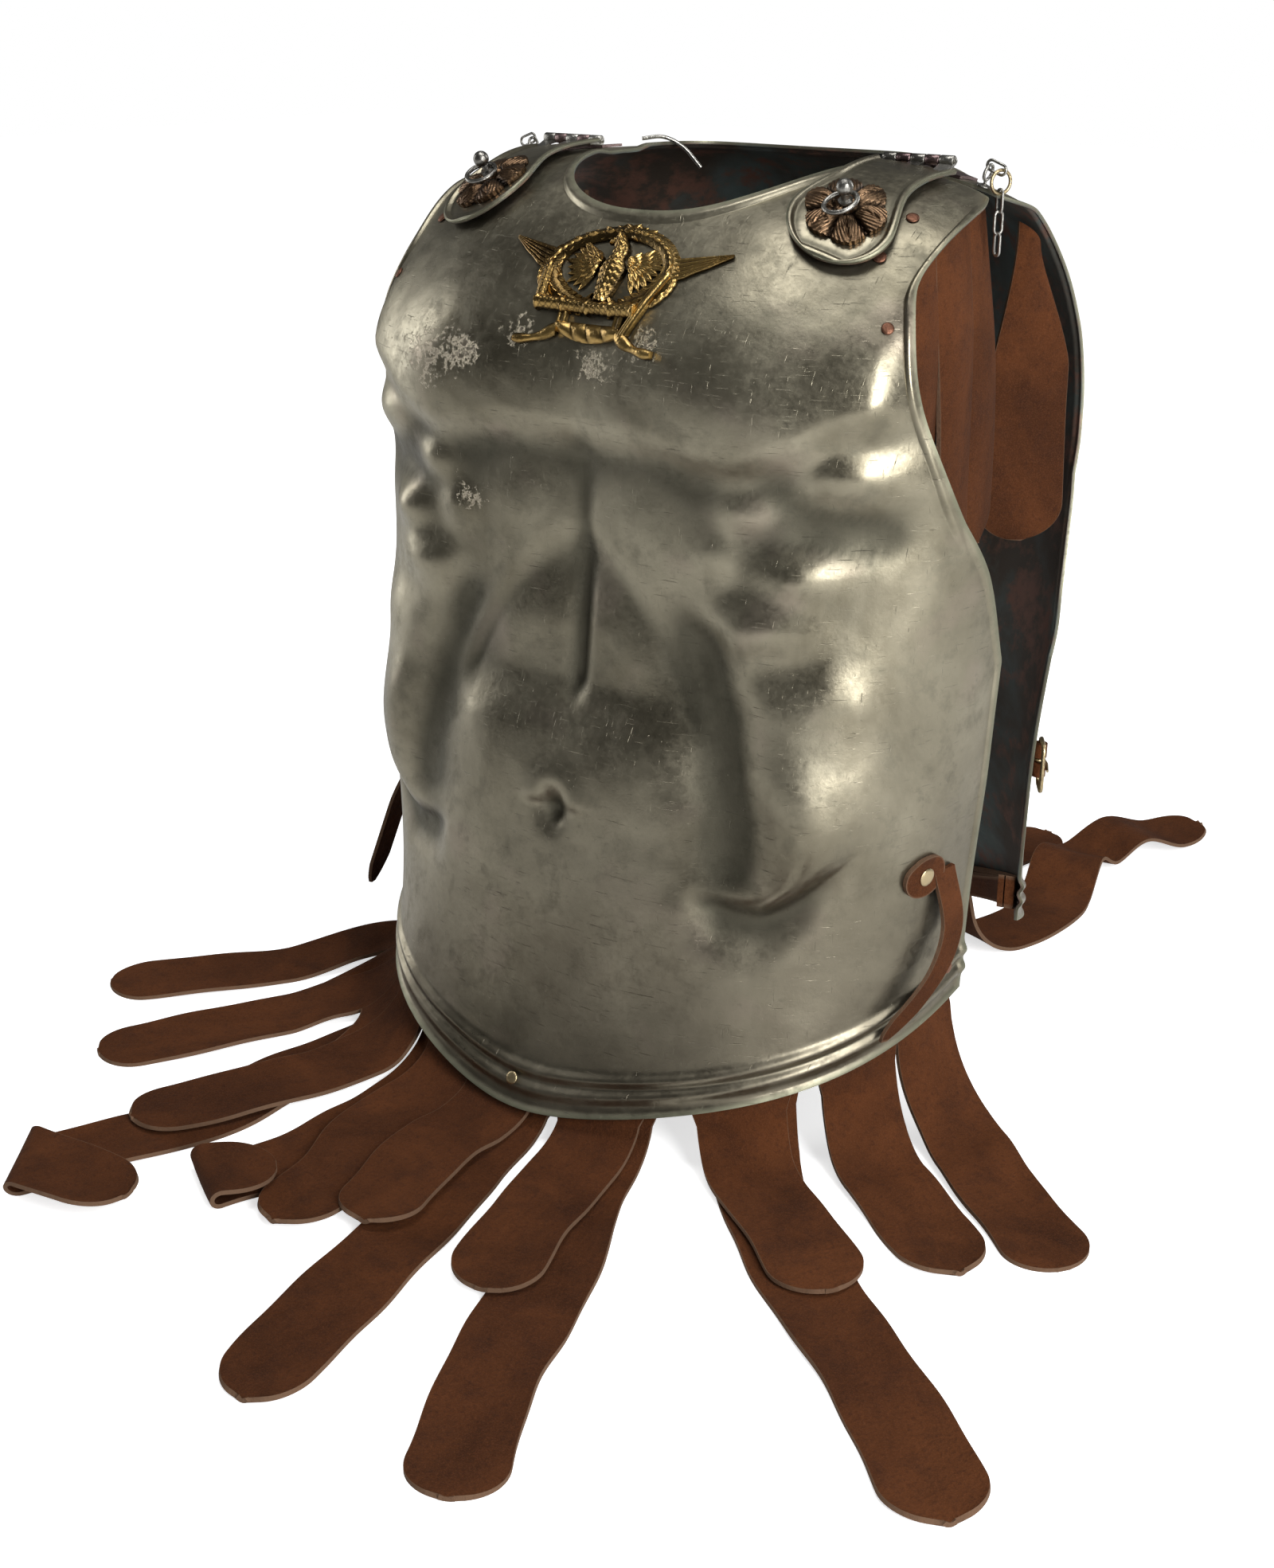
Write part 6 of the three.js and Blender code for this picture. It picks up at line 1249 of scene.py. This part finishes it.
# Buckles: at each side of the backplate a leather tab, riveted on, is folded round the bar of a bent brass
# wire frame with a loose prong.
BUCKLE_Y, BUCKLE_Z, BUCKLE_W, BUCKLE_H, REACH, WIRE_R = 74, 196, 12, 15, 19, 1.4
BARREL, PRONG_R, TAB_LENGTH, CORNER, BUCKLE_BASE, BUCKLE_STUD_R = 9, 1.3, 38, 3.2, SHEET / 2 + 3 * GAP, 4.6
up = np.array((0.0, 0.0, 1.0))
for side, sign in SIDES:
    at = lambda y, z, h: on_side(BACK, sign, y, z, BUCKLE_BASE + h)
    low = at(BUCKLE_Y, BUCKLE_Z, 0)
    out = out_of(lambda h: at(BUCKLE_Y, BUCKLE_Z, h))
    ahead = unit(-np.cross(up, out) * sign)
    hole = WIRE_R + 0.35
    bar = low + out * (hole + HIDE)
    w, t = np.meshgrid(np.linspace(0, 1, 40), ACROSS)
    wide = BUCKLE_W * along([(0, 0.9), (0.35, 0.8), (0.7, 1), (1, 0.35)], w)
    y, z = BUCKLE_Y + TAB_LENGTH * w, BUCKLE_Z + t * wide
    edge = 1 - smooth(np.minimum(wide * (1 - np.abs(t)), TAB_LENGTH * (1 - w)), 0.25, 0.9)
    barrel = [(0, hole), (0, hole + HIDE), (BARREL, hole + HIDE), (BARREL, hole)]
    loops = [turned(bar + up * k * (PRONG_R + 2 * GAP), up * k, barrel) for k in (-1, 1)]
    tab = leather("buckle_leather_" + side, [(at(y, z, HIDE), at(y, z, 0), edge)], "back",
                  "buckle_tab_" + side, loops)
    near, far, top, r = CORNER * 0.3, REACH - CORNER * 0.3, BUCKLE_H, CORNER
    quarter = [(0, top - r), (near, top - near), (r, top), (REACH - r, top), (far, top - near),
               (REACH, top - r)]
    path = [bar + ahead * x + up * h for x, h in quarter + [(x, -h) for x, h in quarter[::-1]]]
    build("buckle_wire_" + side, wire(path, WIRE_R, 16, True), brass, "frame_" + side, "buckle_frame_" + side)
    eye = wire(circle(bar, ahead, out, hole + PRONG_R / 2, 32), PRONG_R * 0.8, 14, True)
    root = bar + out * (hole + PRONG_R / 2)
    end = bar + ahead * (REACH + WIRE_R) + out * (WIRE_R + PRONG_R + GAP)
    rod = wire([root, mix(bar + out * hole, end, 0.4) + out * 1.2, end], [PRONG_R, PRONG_R, PRONG_R * 0.6],
               16)
    build("buckle_tongue_" + side, merged([eye, rod]), brass, "prong_" + side, "buckle_prong_" + side)
    rivet("buckle_stud_" + side, lambda h: at(BUCKLE_Y + TAB_LENGTH * 0.68, BUCKLE_Z, h), HIDE + GAP,
          BUCKLE_STUD_R, brass, "back", "buckle_rivet_" + side)


# Wire fittings: a bent steel pin at the back of the neck, an eyelet with a link at the outer end of each
# hinge, and on the left shoulder a brass ring with a short chain of wire links.
PIN_LINE = [(-92, 38, 556), (-82, 46, 557), (-73, 54, 551.6), (-64, 62, 538.6)]
build("neck_wire", wire(route(PIN_LINE)[0][::6], 1.2, 12), steel, "back", "neck_pin")
EYE_R, EYE_WIRE, EYE_X, EYE_BACK, EYE_FOOT, EYE_STEM = 4.2, 0.9, 159, 7, 4.5, 3.5
JOIN, JOIN_W, DROOP, BIG_R, BIG_WIRE, LINKS, LINK, LINK_W, LINK_WIRE = 12, 5.4, 0.35, 6.2, 0.95, 3, 12, 5, 0.8
flat = unit(np.array((0.45, 0.89, 0)))


def oval(centre, lengthwise, across, length, width, radius):
    a = (np.arange(56) + 0.5) / 56 * 2 * math.pi
    shift = np.sign(np.cos(a)) * (length - width) / 2 + np.cos(a) * width / 2
    line = np.asarray(centre) + shift[:, None] * lengthwise + (np.sin(a) * width / 2)[:, None] * across
    return wire(line, radius, 12, True)


for side, sign in SIDES:
    at = lambda h: skin(BACK, shoulder_place(BACK, sign * EYE_X, EYE_BACK), h)
    foot, rise = at(SHEET / 2 + 2 * GAP), out_of(at)
    eye = foot + rise * (EYE_STEM + EYE_R)
    stem = turned(foot, rise, [(0, EYE_FOOT), (0.6, EYE_FOOT), (1.0, EYE_FOOT * 0.7), (1.6, EYE_WIRE),
                               (EYE_STEM, EYE_WIRE)], 28)
    loop = wire(circle(eye, np.array((0, 1, 0)), rise, EYE_R, 48), EYE_WIRE, 14, True)
    build("eyelet_wire_" + side, merged([stem, loop]), steel, "back", "eyelet_" + side)
    away = unit(np.array((sign * math.cos(DROOP), 0, -math.sin(DROOP))))
    over = unit(np.cross(away, (0, sign, 0)))
    middle = eye + rise * EYE_R - away * (EYE_WIRE + LINK_WIRE + 2 * GAP) + away * JOIN / 2
    build("hook_link_" + side, oval(middle, away, over, JOIN, JOIN_W, LINK_WIRE), steel, "wire_link_" + side,
          "link_" + side)
centre = middle + away * (JOIN / 2 - BIG_WIRE - LINK_WIRE - 3 * GAP) - up * BIG_R
build("shoulder_ring_wire", wire(circle(centre, flat, up, BIG_R, 64), BIG_WIRE, 16, True), brass, "big_ring",
      "shoulder_ring")
first = centre + up * (LINK_WIRE + BIG_WIRE + 2 * GAP - BIG_R - LINK / 2)
turned_by = (np.array((flat[1], -flat[0], 0)), flat)
links = [oval(first - up * i * (LINK - LINK_WIRE / 2), up, turned_by[i % 2], LINK, LINK_W, LINK_WIRE)
         for i in range(LINKS)]
build("shoulder_chain_wire", merged(links), steel, "chain", "shoulder_chain")
